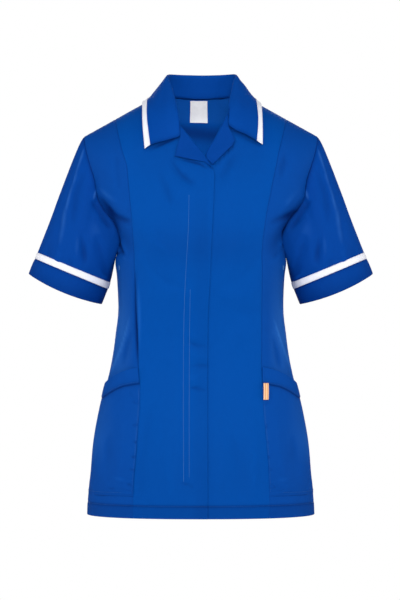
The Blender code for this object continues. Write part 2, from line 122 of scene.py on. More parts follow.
def place_of(x, z):
    """(phi, q) of the torso's points at x and z: angle round the section, and how far below the shoulder."""
    share = np.clip(np.abs(x) / torso_size(z, 1), 0, 1)
    drop = np.maximum(0.0, (shoulder_z(x) - z) / SHOULDER_CAP)
    q = np.where(drop < 1, np.arccos(1 - np.minimum(drop, 1)), math.pi / 2 + drop - 1)
    return np.copysign(np.arcsin(share ** (torso_size(z, 4) / 2)), x), q


def torso(phi, q, side):
    """The torso's points, on the front where side is -1 and on the back where it is 1."""
    phi, q = np.broadcast_arrays(np.asarray(phi, float), np.asarray(q, float))
    fall = SHOULDER_CAP * np.where(q < math.pi / 2, 1 - np.cos(q), 1 + q - math.pi / 2)
    z = np.full(phi.shape, -80.0)
    for _ in range(12):
        x = np.copysign(torso_size(z, 1) * np.abs(np.sin(phi)) ** (2 / torso_size(z, 4)), phi)
        z = shoulder_z(x) - fall
    depth = torso_size(z, 2 if side < 0 else 3) * np.maximum(0, np.cos(phi)) ** (2 / torso_size(z, 4))
    return np.stack((x, side * (HALF_SEAM + depth * np.sin(np.minimum(q, math.pi / 2))), z), axis=-1)


def unit(vectors):
    return vectors / np.maximum(np.linalg.norm(vectors, axis=-1, keepdims=True), 1e-9)


def outward(phi, q, side):
    """The torso's unit normals."""
    phi = np.clip(phi, 0.004 - math.pi / 2, math.pi / 2 - 0.004)
    q = np.maximum(q, 0.012)
    across = torso(phi + 0.004, q, side) - torso(phi - 0.004, q, side)
    down = torso(phi, q + 0.004, side) - torso(phi, q - 0.004, side)
    return unit(side * np.cross(across, down))


def on_torso(x, z, side, lift=0.0):
    """Points of the torso at x and z, lifted off it."""
    phi, q = place_of(x, z)
    return torso(phi, q, side) + np.asarray(lift)[..., None] * outward(phi, q, side)


def hem_q(x):
    return place_of(x, HEM_Z)[1]


# The creases that the cloth keeps where it hangs: soft, uneven ridges and troughs, the same for every piece they
# cross, so that no seam opens. A row is where it starts and ends as seen from its side, its width, its height
# (negative for a trough), how far it bows, and how much narrower its second side is.
FRONT_CREASES = [
    (-186, -163, -134, -250, 8.5, -6.6, 0, 0.8), (-166, -190, -118, -217, 6, -4.6, 2, 1), (-176, -150, -140, -188, 5, 1.8, 2, 1),
    (-139, -222, -126, -284, 6, 4.0, 2, 0.8), (-147, -238, -126, -277, 3, -3.2, 1, 1), (-153, -268, -128, -268, 3, -2.6, 0, 1),
    (186, -165, 134, -252, 8.5, -6.4, 0, 0.8), (166, -192, 116, -221, 6, -4.4, -2, 1), (176, -152, 138, -190, 5, 1.8, -2, 1),
    (139, -224, 126, -288, 6, 3.8, -2, 0.8), (147, -240, 125, -280, 3, -3.0, -1, 1),
    (-22, -64, -98, -92.5, 3.0, -3.0, 0, 1), (40, -48, 108, -87, 3.2, -3.0, 0, 1), (-50, -104, 20, -120, 2.6, -2.2, 0, 1),
    (62, -76, 22, -122, 2.6, -2.0, 0, 1),
    (-113.4, -292, -110.4, -470, 3.0, -3.4, 0, 1), (-107.4, -306, -105.2, -462, 3.4, 2.0, 0, 1),
    (-122, -372, -157, -484, 2.2, 2.0, -2, 0.6), (-112, -388, -140, -476, 7, -2.4, 3, 1),
    (125, -378, 157, -476, 2.2, 2.0, 2, 0.6), (114, -394, 142, -478, 7, -2.4, -3, 1),
    (-27, -420, 20, -431, 5.5, -2.2, 1, 1), (-27, -461, 19, -466, 5, -2.1, -1, 1), (-28, -499, 18, -503, 4.5, -2.0, 1, 1),
    (-28, -441, 8, -446, 6, 1.4, 0, 1), (-28, -481, 4, -484, 6, 1.3, 0, 1), (-34, -667, -12, -669, 2.5, -1.4, 0, 1),
    (-58, -98, -4, -154, 7, -4.4, 5, 1), (-42, -96, -20, -178, 8, 1.8, -3, 1), (-74, -104, -44, -196, 9, -3.0, 5, 1),
    (64, -84, 30, -166, 9, -2.8, 4, 1), (-106, -258, -28, -338, 10, -2.4, 6, 1), (-108, -230, -46, -284, 9, 1.7, -4, 1),
    (106, -256, 40, -334, 10, -2.1, -6, 1), (104, -226, 52, -276, 9, 1.5, 4, 1),
    (-105, -402, -34, -420, 11, -1.8, 3, 1), (36, -394, 106, -369, 11, -1.8, -3, 1), (28, -352, 100, -328, 10, 1.4, 2, 1),
    (-96, -436, -38, -458, 12, 1.3, 3, 1), (44, -428, 98, -412, 12, 1.3, -3, 1),
    (-87, -505, -97, -722, 13, -3.4, 7, 1), (-56, -545, -50, -724, 15, 2.8, -5, 1), (52, -548, 62, -724, 15, -3.0, -6, 1),
    (88, -502, 98, -722, 13, 2.9, 6, 1), (24, -590, 29, -724, 14, 1.9, 3, 1), (-12, -560, -17, -724, 16, -1.6, 4, 1),
    (148, -84, 139, -152, 7, -2.6, 3, 1), (-150, -92, -140, -166, 7, -2.2, -3, 1), (-152, -56, -106, -132, 9, 1.5, 5, 1),
    (152, -58, 106, -134, 9, 1.5, -5, 1), (-187, -650, -181, -695, 4, 1.6, 1, 0.6), (188, -650, 182, -695, 4, 1.6, -1, 0.6),
    (-160, -560, -176, -700, 11, -1.8, 4, 1), (160, -562, 176, -704, 11, -1.8, -4, 1),
    (-136, -530, -146, -690, 10, 1.3, -4, 1), (137, -536, 147, -690, 10, 1.3, 4, 1),
]
BACK_CREASES = [
    (-184, -160, -118, -240, 9, 3.4, 6, 0.6), (-168, -196, -100, -266, 9, -4.2, 5, 1), (-142, -236, -92, -336, 9, 2.4, 6, 1),
    (-150, -262, -112, -300, 5, -2.2, 3, 1), (184, -166, 120, -246, 9, 3.2, -6, 0.6), (168, -202, 98, -272, 9, -4.0, -5, 1),
    (143, -244, 94, -342, 9, 2.3, -6, 1), (151, -266, 114, -306, 5, -2.1, -3, 1),
    (-96, -56, -82, -262, 14, 2.4, 8, 1), (-58, -84, -50, -312, 15, -2.4, -7, 1), (92, -60, 80, -272, 14, 2.3, -8, 1),
    (56, -80, 48, -318, 15, -2.3, 7, 1), (-10, -50, -5, -230, 18, -1.4, 5, 1), (18, -120, 22, -330, 17, 1.3, 6, 1),
    (-120, -350, -30, -366, 8, -3.0, 6, 1), (-128, -384, -16, -395, 9, 2.4, -5, 1), (-106, -414, -6, -421, 9, -2.7, 5, 1),
    (118, -346, 22, -360, 8, -2.9, -6, 1), (126, -380, 26, -392, 9, 2.2, 5, 1), (110, -412, 12, -425, 9, -2.6, -5, 1),
    (-96, -330, -126, -476, 10, 2.2, 5, 1), (98, -328, 128, -480, 10, 2.2, -5, 1),
    (-110, -495, -134, -722, 16, -3.8, 8, 1), (-66, -515, -76, -722, 17, 3.4, -7, 1), (-24, -535, -21, -722, 16, -2.8, 6, 1),
    (26, -530, 31, -722, 17, 3.0, -6, 1), (70, -512, 82, -722, 16, -3.6, 7, 1), (116, -500, 138, -722, 16, 3.2, -7, 1),
    (-158, -540, -176, -712, 12, 1.8, 4, 1), (160, -548, 177, -712, 12, 1.7, -4, 1), (30, 4, 58, -20, 5, -2.4, 2, 1),
]


def creased(x, z, creases):
    """(height, keenness) of the creases at x and z: a narrow crease is keener than a wide one as high."""
    height = np.zeros(np.broadcast(x, z).shape)
    keen = np.zeros(height.shape)
    for k, (x0, z0, x1, z1, width, top, bow, second) in enumerate(creases):
        dx, dz = x1 - x0, z1 - z0
        length = math.hypot(dx, dz)
        t = ((x - x0) * dx + (z - z0) * dz) / length**2
        off = ((x - x0) * dz - (z - z0) * dx) / length - bow * (1 - (2 * t - 1) ** 2)
        off = off + 0.3 * width * np.sin(5 * t + 1.9 * k)
        off = off / (width * np.where(off > 0, second, 1.0))
        ends = np.clip(1 - np.abs(2 * t - 1) ** 2.4, 0, 1)
        stood = ends * (0.8 + 0.2 * np.sin(6.3 * t + 2.7 * k)) * np.exp(-np.minimum(off * off, 40))
        height += top * stood
        keen += top / width * stood
    return height, keen


def relief(points, side):
    """(height, keenness) of the hanging cloth's folds off the smooth form at these points of the torso."""
    x, y, z = points[..., 0], points[..., 1], points[..., 2]
    nearer = 5000 / (5000 + y)
    if side < 0:
        height, keen = creased((x + 1.4) * nearer - 1.4, (z + 349.2) * nearer - 349.2, FRONT_CREASES)
    else:
        height, keen = (1.25 * found for found in creased(x, z, BACK_CREASES))
    height = height + 0.35 * np.sin(x / 17 + 1.3 * np.sin(z / 61)) * np.sin(z / 43 + side)
    height = height + 0.22 * np.sin(x / 9.5 + 2 * np.sin(z / 37) + side) * np.sin(z / 88)
    fade = np.clip(np.abs(y) / 16, 0, 1)
    fade = fade * fade * (3 - 2 * fade)
    return height * fade, keen * fade


def fold_shade_and_highlight(keen):
    """Painted shade (above 0) in the cloth's sharp hollows and painted highlight (below 0) on its sharp crests."""
    return np.clip(-1.3 * keen - 0.15, 0, 0.9) - np.clip(0.9 * keen - 0.1, 0, 0.8)


def ripple(at):
    """The small puckers that a line of sewing draws up, along it."""
    return np.sin(at / 1.9 + 2 * np.sin(at / 23)) * (0.6 + 0.4 * np.sin(at / 37 + 1))


def seamed(distance, at):
    """The groove of a seam and its puckers, at a distance from it and a place along it."""
    return -0.6 * np.exp(-((distance / 1.0) ** 2)) + 0.3 * np.exp(-distance / 6) * ripple(at)


def steps(grid, axis):
    """Distances between neighbouring points of a grid, summed from its first row or column."""
    found = np.linalg.norm(np.diff(grid, axis=axis), axis=-1)
    start = np.zeros_like(np.take(found, [0], axis=axis))
    return np.concatenate([start, np.cumsum(found, axis=axis)], axis=axis)


# The shader values and finishes that the cloths, tapes and threads share.
# Plain arithmetic on a Value adds Math nodes; a Finish makes every other node.
class Value:
    """A shader value that adds, subtracts and multiplies as a number does."""

    def __init__(self, finish, socket):
        self.finish, self.socket = finish, socket

    def maths(self, operation, *values):
        return self.finish.node("ShaderNodeMath", {"operation": operation}, dict(enumerate(values)))

    def __add__(self, other):
        return self.maths("ADD", self, other)

    def __radd__(self, other):
        return self.maths("ADD", other, self)

    def __sub__(self, other):
        return self.maths("SUBTRACT", self, other)

    def __rsub__(self, other):
        return self.maths("SUBTRACT", other, self)

    def __mul__(self, other):
        return self.maths("MULTIPLY", self, other)

    def __rmul__(self, other):
        return self.maths("MULTIPLY", other, self)

    def wave(self):
        return self.maths("SINE", self)

    def power(self, exponent):
        return self.maths("POWER", self, exponent)


class Finish:
    """A material and its nodes, on one Principled shader with its constants set on its own sockets."""

    def __init__(self, name, **constants):
        self.material = bpy.data.materials.new(name)
        self.material.use_nodes = True
        self.shader = self.material.node_tree.nodes["Principled BSDF"]
        for socket, value in constants.items():
            self.shader.inputs[socket.replace("_", " ")].default_value = value

    def node(self, kind, settings, inputs, output=0):
        made = self.material.node_tree.nodes.new(kind)
        for name, value in settings.items():
            setattr(made, name, value)
        for name, value in inputs.items():
            if isinstance(value, Value):
                self.material.node_tree.links.new(value.socket, made.inputs[name])
            else:
                made.inputs[name].default_value = value
        return Value(self, made.outputs[output])

    def feed(self, socket, value):
        self.material.node_tree.links.new(value.socket, self.shader.inputs[socket])

    def uv(self):
        """The cloth's own width and length, in millimetres."""
        place = self.node("ShaderNodeTexCoord", {}, {}, "UV")
        return [
            self.node("ShaderNodeSeparateXYZ", {}, {0: place}, axis) * 1000 for axis in ("X", "Y")
        ]

    def point(self, x, y, z=0.0):
        return self.node("ShaderNodeCombineXYZ", {}, {"X": x, "Y": y, "Z": z})

    def noise(self, at, scale, detail=2.0):
        return self.node("ShaderNodeTexNoise", {}, {"Vector": at, "Scale": scale, "Detail": detail})

    def mix(self, share, a, b):
        return self.node("ShaderNodeMix", {"data_type": "RGBA"}, {0: share, 6: a, 7: b}, 2)

    def bump(self, height, strength, distance):
        self.feed("Normal", self.node("ShaderNodeBump", {}, {"Strength": strength, "Distance": distance, "Height": height}))


def rgb(red, green, blue):
    """A colour as it looks on a screen, from 0 to 255, as shader colour."""
    return tuple(((c / 255 + 0.055) / 1.055) ** 2.4 if c > 10 else c / 255 / 12.92 for c in (red, green, blue)) + (1.0,)


def woven(name, shade, light, dark, seam_and_shade_colour, painted_highlight_colour):
    """Polyester and cotton twill: a fine diagonal, uneven yarns both ways and a soft change of tone, with a dark colour
    mixed in for seam lines and painted shade and a light one for painted highlight.
    """
    finish = Finish(name, Roughness=0.62, Sheen_Weight=0.05, Sheen_Roughness=0.4, Sheen_Tint=rgb(60, 130, 220),
                    Specular_IOR_Level=0.02)
    u, v = finish.uv()
    twill = ((u + v * 0.9) * (2 * math.pi / 0.95)).wave()
    threads = (u * (2 * math.pi / 0.47)).wave() * 0.5 + (v * (2 * math.pi / 0.5)).wave() * 0.5
    across = finish.noise(finish.point(u * 0.05, v * 1.6), 1.0, 3.0)
    down = finish.noise(finish.point(u * 1.6, v * 0.05), 1.0, 3.0)
    place = finish.node("ShaderNodeTexCoord", {}, {}, "Object")
    tone = finish.noise(place, 9.0, 3.0)
    seam_and_painted_light = finish.node("ShaderNodeAttribute", {"attribute_name": "seam_and_painted_light"}, {}, "Fac")
    mixed = finish.mix((across + down) * 0.55 - 0.05, dark, light)
    mixed = finish.mix(tone * 0.5, mixed, shade)
    # Below 0 the attribute mixes in the painted highlight colour, above 0 the dark colour of seam lines and painted
    # shade.
    mixed = finish.mix(seam_and_painted_light * -0.7, mixed, painted_highlight_colour)
    finish.feed("Base Color", finish.mix(seam_and_painted_light * 0.7, mixed, seam_and_shade_colour))
    finish.feed("Roughness", 0.58 + across * 0.12 - seam_and_painted_light * 0.1)
    finish.bump(twill * 0.35 + threads * 0.25 + across * 1.2 + down * 1.2, 0.4, 0.00012)
    return finish.material


# Each cloth's last two colours are its dark colour for seam lines and painted shade, and its painted highlight colour.
BODY_CLOTH = woven("body_cloth", rgb(1, 71, 155), rgb(2, 79, 167), rgb(1, 61, 139), rgb(0, 26, 88), rgb(34, 104, 194))
SIDE_CLOTH = woven("side_cloth", rgb(5, 67, 149), rgb(7, 75, 161), rgb(3, 58, 137), rgb(0, 26, 86), rgb(54, 120, 202))
# The sleeve and collar cloths are darker copies of the body cloth: painted shade, for the sleeves, collar and lapels
# taking less light than the chest.
SLEEVE_CLOTH = woven("sleeve_cloth", rgb(3, 62, 145), rgb(5, 70, 158), rgb(2, 53, 131), rgb(0, 20, 82), rgb(58, 118, 196))
COLLAR_CLOTH = woven("collar_cloth", rgb(3, 64, 148), rgb(5, 72, 160), rgb(2, 56, 136), rgb(0, 24, 84), rgb(20, 92, 184))


def edged(data, closed):
    """The grid with one more row or column close inside each edge, which keeps the edge crisp."""
    def both_ends(grid):
        near = [0.45 / max(0.9, float(np.linalg.norm(b - a, axis=-1).mean())) for a, b in
                ((grid[0, :, :3], grid[1, :, :3]), (grid[-1, :, :3], grid[-2, :, :3]))]
        first = grid[0] + (grid[1] - grid[0]) * near[0]
        last = grid[-1] + (grid[-2] - grid[-1]) * near[1]
        return np.concatenate([grid[:1], first[None], grid[1:-1], last[None], grid[-1:]])

    data = both_ends(data)
    return data if closed else both_ends(data.swapaxes(0, 1)).swapaxes(0, 1)


def cloth(name, node, face, normal, thick, finish, closed=False, seam_and_painted_light=None, inside=None):
    """A cut piece of cloth: a thin shell between its face and its back, with rounded edges, in place of its node."""
    if closed:
        face, normal = (np.concatenate([grid, grid[:, :1]], axis=1) for grid in (face, normal))
        seam_and_painted_light = None if seam_and_painted_light is None else np.concatenate([seam_and_painted_light, seam_and_painted_light[:, :1]], axis=1)
    seam_and_painted_light = np.zeros(face.shape[:2]) if seam_and_painted_light is None else seam_and_painted_light
    inside = seam_and_painted_light if inside is None else inside
    wide, long = steps(face, 1), steps(face, 0)
    u = wide - wide[:, face.shape[1] // 2 : face.shape[1] // 2 + 1] if not closed else wide
    data = edged(np.concatenate([face, normal, np.stack([u, long, seam_and_painted_light, inside], axis=-1)], axis=-1), closed)
    face, normal, seam_and_painted_light, inside = data[..., :3], unit(data[..., 3:6]), data[..., 8], data[..., 9]
    rows, columns = face.shape[:2]
    away = np.zeros_like(face)
    away[0] += unit(face[0] - face[1])
    away[-1] += unit(face[-1] - face[-2])
    if not closed:
        away[:, 0] += unit(face[:, 0] - face[:, 1])
        away[:, -1] += unit(face[:, -1] - face[:, -2])
    back = face - thick * normal
    middle = (face + back) / 2 + 0.45 * thick * unit(away)
    if closed:
        index = np.arange(rows * (columns - 1)).reshape(rows, columns - 1)
        face, back, middle, seam_and_painted_light, inside = (grid[:, :-1] for grid in (face, back, middle, seam_and_painted_light, inside))
        index = np.concatenate([index, index[:, :1]], axis=1)
    else:
        index = np.arange(rows * columns).reshape(rows, columns)
    count = face.shape[0] * face.shape[1]
    line = [(r, 0) for r in range(rows)] if not closed else []
    ring = [[(0, c) for c in range(columns)], [(rows - 1, c) for c in range(columns)][::-1]]
    if not closed:
        ring += [[(r, 0) for r in range(rows)][::-1], [(r, columns - 1) for r in range(rows)]]
    middles = {}
    corners, uvs = [], []
    i, j, k, m = index[:-1, :-1], index[:-1, 1:], index[1:, 1:], index[1:, :-1]
    place = data[..., 6:8] * MM
    a, b, c, d = place[:-1, :-1], place[:-1, 1:], place[1:, 1:], place[1:, :-1]
    corners.append(np.stack([i, m, k, j], -1).reshape(-1, 4))
    uvs.append(np.stack([a, d, c, b], -2).reshape(-1, 4, 2))
    corners.append(np.stack([i, j, k, m], -1).reshape(-1, 4) + count)
    uvs.append(np.stack([a, b, c, d], -2).reshape(-1, 4, 2))
    rims, rim_uvs = [], []
    for side in ring:
        for (r0, c0), (r1, c1) in zip(side[:-1], side[1:]):
            p, q = int(index[r0, c0]), int(index[r1, c1])
            for at in (p, q):
                middles.setdefault(at, 2 * count + len(middles))
            s, t = middles[p], middles[q]
            rims += [(p, q, t, s), (s, t, q + count, p + count)]
            rim_uvs += [(place[r0, c0], place[r1, c1], place[r1, c1], place[r0, c0])] * 2
    corners.append(np.array(rims))
    uvs.append(np.array(rim_uvs))
    corners, uvs = np.concatenate(corners), np.concatenate(uvs)
    if (np.cross(face[:-1, 1:] - face[:-1, :-1], face[1:, :-1] - face[:-1, :-1])
            * (face[:-1, :-1] - back[:-1, :-1])).sum() > 0:
        corners, uvs = corners[:, ::-1], uvs[:, ::-1]
    around = np.array(list(middles))
    points = np.concatenate([face.reshape(-1, 3), back.reshape(-1, 3), middle.reshape(-1, 3)[around]]) * MM
    mesh = bpy.data.meshes.new(name)
    mesh.from_pydata(points.tolist(), [], corners.tolist())
    mesh.uv_layers.new(name="cut").data.foreach_set("uv", uvs.reshape(-1))
    # The attribute written here darkens seam lines and carries painted shade (above 0) and painted highlight (below 0);
    # the cloth's back face takes inside instead.
    tones = np.concatenate([seam_and_painted_light.reshape(-1), inside.reshape(-1), seam_and_painted_light.reshape(-1)[around]])
    mesh.attributes.new("seam_and_painted_light", "FLOAT", "POINT").data.foreach_set("value", tones.astype(np.float32))
    mesh.polygons.foreach_set("use_smooth", np.ones(len(corners), bool))
    mesh.materials.append(finish)
    piece = bpy.data.objects.new(name, mesh)
    bpy.context.scene.collection.objects.link(piece)
    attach(piece, "root")
    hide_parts(node)
    data = data[..., :3]
    across, down = data[:-1, 1:] - data[:-1, :-1], data[1:, :-1] - data[:-1, :-1]
    return piece


# The five cut pieces of the body: a back in one piece, two fronts, the right lapping over the left, and two side
# fronts, set in with princess seams. They are one thickness of twill, joined with pressed seams; the hem is turned
# up 21 mm and stitched.
PRINCESS_RIGHT = [(-147.5, -39), (-135.2, -90), (-126.4, -118), (-123.8, -142), (-121, -172), (-117.8, -206),
                  (-115, -243), (-112.8, -283), (-111.8, -349), (-110, -400), (-106, -463), (-103, -493),
                  (-103.7, -533), (-106.6, -572), (-109.4, -610), (-113, -649), (-114.4, -695), (-114.8, -716)]
PRINCESS_LEFT = [(147.5, -39), (133.4, -92), (126, -130), (118.7, -165), (109.5, -213), (104.2, -260),
                 (103.8, -300), (103.4, -360), (103.5, -417), (103.5, -464), (104.3, -513), (107.1, -552),
                 (110.8, -590), (114, -629), (115.4, -695), (115.4, -716)]
NECK_RIGHT = [(-70, 3.9), (-68.6, -1), (-61, -17), (-48.5, -34), (-35.7, -52.7)]
NECK_LEFT = [(70, 3.9), (69, -0.5), (64, -13), (56, -23.5), (46.9, -30.8)]
ROLL_RIGHT = [(-35.7, -52.7), (-14.9, -78.4), (6.4, -105), (20.1, -128.7)]
ROLL_LEFT = [(46.9, -30.8), (27.3, -69), (7, -105)]
OVERLAP_EDGE = [(20.1, -128.7), (22.6, -141), (20.4, -198), (15.4, -307), (11.2, -417), (11.2, -716)]
UNDERLAP_EDGE = [(7, -105), (-8, -128), (-20, -146), (-23, -170), (-23, -716)]
ARMHOLE = np.array([(0, 68.2), (30, 67.4), (60, 67.9), (90, 71), (110, 73.5), (130, 76.5), (150, 80), (165, 84),
                    (180, 90)], float)
ARMHOLE_LOW_Z = -262.0
CLOTH = 0.9
HEM = 21.0


def edge(line):
    """A seam or edge as (share of the way from shoulder to hem, phi)."""
    found = along(line, 6 * len(line))
    phi, q = place_of(found[:, 0], found[:, 1])
    share = q / hem_q(found[:, 0])
    share[0] = 0.0 if share[0] < 0.02 else share[0]
    return share, phi


def armhole(angle):
    """(phi, q) on the right armhole at these angles, from 0 at the shoulder to 180 under the arm."""
    phi = -np.radians(np.interp(angle, ARMHOLE[:, 0], ARMHOLE[:, 1]))
    tip = torso_size(-70, 1) * math.sin(math.radians(ARMHOLE[0, 1])) ** (2 / torso_size(-70, 4))
    top = shoulder_z(tip)
    z = top + (ARMHOLE_LOW_Z - top) * (1 - np.cos(np.radians(angle))) / 2
    x = torso_size(z, 1) * np.abs(np.sin(phi)) ** (2 / torso_size(z, 4))
    return phi, place_of(x, z)[1]


ANGLES = np.arange(0, 360, 2.4)  # round the armhole, one for each lengthwise line of a sleeve
hole = armhole(ANGLES[ANGLES <= 180])
share = hole[1] / hem_q(torso(*hole, -1)[:, 0])
SIDE_RIGHT = (np.append(share, 1.0), np.append(hole[0], -math.pi / 2))
SIDE_LEFT = (SIDE_RIGHT[0], -SIDE_RIGHT[1])
HEM_ROWS = 0.045
ROWS = np.concatenate([share, np.linspace(share[-1], 1 - HEM_ROWS, 102)[1:], np.linspace(1 - HEM_ROWS, 1, 20)[1:]])


def spread(columns):
    """Places from 0 to 1 across a piece, closer together towards its two edges."""
    even = np.linspace(0, 1, columns)
    return even - 0.85 * np.sin(2 * math.pi * even) / (2 * math.pi)


def body_grid(side, left, right, columns, top=None):
    """(points, normals) of the smooth form between two edges; top gives the share at which each column starts."""
    start, end = (np.interp(ROWS, *line)[:, None] for line in (left, right))
    phi = start + (end - start) * spread(columns)
    q = np.repeat(ROWS[:, None] * 9, columns, 1)
    for _ in range(6):
        x = torso(phi, q, side)[..., 0]
        share = ROWS[:, None] if top is None else top(x) + (1 - top(x)) * ROWS[:, None]
        q = share * hem_q(x)
    return torso(phi, q, side), outward(phi, q, side)


def hemmed(height):
    """The stitched line of the turned hem, and the fullness of the turning below it."""
    return -0.5 * np.exp(-(((height - HEM) / 1.3) ** 2)) + 0.35 * np.clip((HEM - height) / 3, 0, 1)


def front_painted_light(x, z):
    """Broad painted shade and light on the front's cloth: painted shade over the shoulders, under the bust, under the
    arms and at the hem, slightly darker down the placket, and painted light at the waist.
    """
    wide = np.abs(x)
    yoke = 0.3 * np.clip((z + 165) / 110, 0, 1) * (1 - 0.75 * np.clip((wide - 96) / 30, 0, 1))
    bust = 0.22 * np.exp(-(((z + 262) / 34) ** 2)) * np.clip((105 - wide) / 60 + 0.4, 0, 1)
    hips = 0.14 * np.exp(-(((z + 660) / 70) ** 2)) + 0.3 * np.clip((HEM_Z + HEM + 2 - z) / 4, 0, 1)
    placket = 0.1 * np.clip((x + 16) / 12, 0, 1) * np.clip((14 - x) / 3, 0, 1) * np.clip((-z - 150) / 60, 0, 1)
    waist = 0.36 * np.exp(-(((z + 395) / 85) ** 2)) * np.clip((wide - 114) / 20, 0, 1)
    off = (74 * (wide - 162) - 44 * (z + 196)) / 86.1
    down = (44 * (162 - wide) - 74 * (z + 196)) / 86.1
    underarm = np.where(x < 0, 0.68, 0.85) * np.exp(-((off / np.where(off < 0, 12, 20)) ** 2)) * np.clip(1.2 - np.abs(down - 36) / 50, 0, 1)
    return yoke + bust + hips + placket + underarm - waist


def body_piece(name, side, left, right, columns, seams, top=None, sunk=None):
    """One of the body's pieces, with grooves along those of its left, right and top edges that are seams."""
    face, normal = body_grid(side, left, right, columns, top)
    wide, long = steps(face, 1), steps(face, 0)
    rise, keen = relief(face, side)
    rise = rise + hemmed(face[..., 2] - HEM_Z)
    seam_and_painted_light = np.zeros(wide.shape)
    for which, distance in (("left", wide), ("right", wide[:, -1:] - wide), ("top", long)):
        at = face[..., 2] if which != "top" else np.abs(face[..., 0])
        if which in seams:
            shown = 1.0 if which == "top" or side > 0 else 0.3 + 0.7 * np.clip((face[..., 2] + 472) / 12, 0, 1)
            rise = rise + shown * seamed(distance, at)
            seam_and_painted_light = np.maximum(seam_and_painted_light, (0.75 if which == "top" else 0.5 * shown) * np.exp(-distance / 1.2))
            # A pale line beside each seam: painted highlight on the seam's ridge.
            seam_and_painted_light = seam_and_painted_light - (0.28 if "side" in name else 0.12) * np.exp(-(((distance - 2.4) / 1.1) ** 2))
        else:
            rise = rise + (0.25 * np.exp(-distance / 8) if which != "top" else 0)
    if sunk is not None:
        rise = rise - sunk(face[..., 0], face[..., 2])
    # Painted shade along the hem's stitched line, and painted shade and highlight on the sharp folds.
    seam_and_painted_light = np.maximum(seam_and_painted_light, 0.8 * np.exp(-np.abs(face[..., 2] - HEM_Z - HEM) / 1.5)) + fold_shade_and_highlight(keen * (1 if side < 0 else 1.5))
    inside = seam_and_painted_light
    if side < 0:
        # The front's broad painted shade and light.
        seam_and_painted_light = seam_and_painted_light + front_painted_light(face[..., 0], face[..., 2])
    else:
        wide, z = np.abs(face[..., 0]), face[..., 2]
        # On the back: painted light at the waist and hips and painted shade below the armholes; its inside gets a
        # painted shadow band below the neck label and painted light above it.
        seam_and_painted_light = seam_and_painted_light - 0.36 * np.exp(-(((z + 395) / 85) ** 2)) * np.clip((wide - 86) / 54, 0, 1)
        seam_and_painted_light = seam_and_painted_light - 0.12 * np.exp(-(((z + 590) / 70) ** 2)) * np.clip((wide - 110) / 50, 0, 1)
        seam_and_painted_light = seam_and_painted_light + 0.3 * np.exp(-(((z + 225 + wide / 5) / 24) ** 2)) * np.clip((wide - 90) / 50, 0, 1)
        inside = 0.9 * np.exp(-(((face[..., 2] + 58 + face[..., 0] / 9) / 13) ** 2)) - 0.3 * np.clip((face[..., 2] + 46) / 9, 0, 1)
    slot, finish = ("side_cloth", SIDE_CLOTH) if "side" in name else ("body_cloth", BODY_CLOTH)
    return cloth(name + "_cloth", name, face + rise[..., None] * normal, normal, CLOTH, finish,
                 seam_and_painted_light=seam_and_painted_light, inside=inside)


def back_neck(x):
    """Share at which the back starts below the neck seam."""
    seam = shoulder_z(NECK_X) * np.minimum(np.abs(x) / NECK_X, 1) ** 2
    return np.where(np.abs(x) >= NECK_X, 0.0, place_of(x, seam)[1] / hem_q(x))


def under_overlap(x, z):
    """Depth of the left front below the right front that lies on it."""
    line = np.array(ROLL_RIGHT + OVERLAP_EDGE[1:])[::-1]
    t = np.clip((np.interp(z, line[:, 1], line[:, 0]) + 30 - x) / 24, 0, 1)
    return 2.05 * t * t * (3 - 2 * t)


body_piece("back", 1, SIDE_RIGHT, SIDE_LEFT, 150, ("left", "right", "top"), top=back_neck)
body_piece("front_centre_right", -1, edge(PRINCESS_RIGHT), edge(NECK_RIGHT + ROLL_RIGHT[1:] + OVERLAP_EDGE[1:]), 48,
           ("left", "top"))
body_piece("front_centre_left", -1, edge(NECK_LEFT + ROLL_LEFT[1:] + UNDERLAP_EDGE[1:]), edge(PRINCESS_LEFT), 50,
           ("right", "top"), sunk=under_overlap)
body_piece("front_side_right", -1, SIDE_RIGHT, edge(PRINCESS_RIGHT), 34, ("left", "right", "top"))
body_piece("front_side_left", -1, edge(PRINCESS_LEFT), SIDE_LEFT, 34, ("left", "right", "top"))

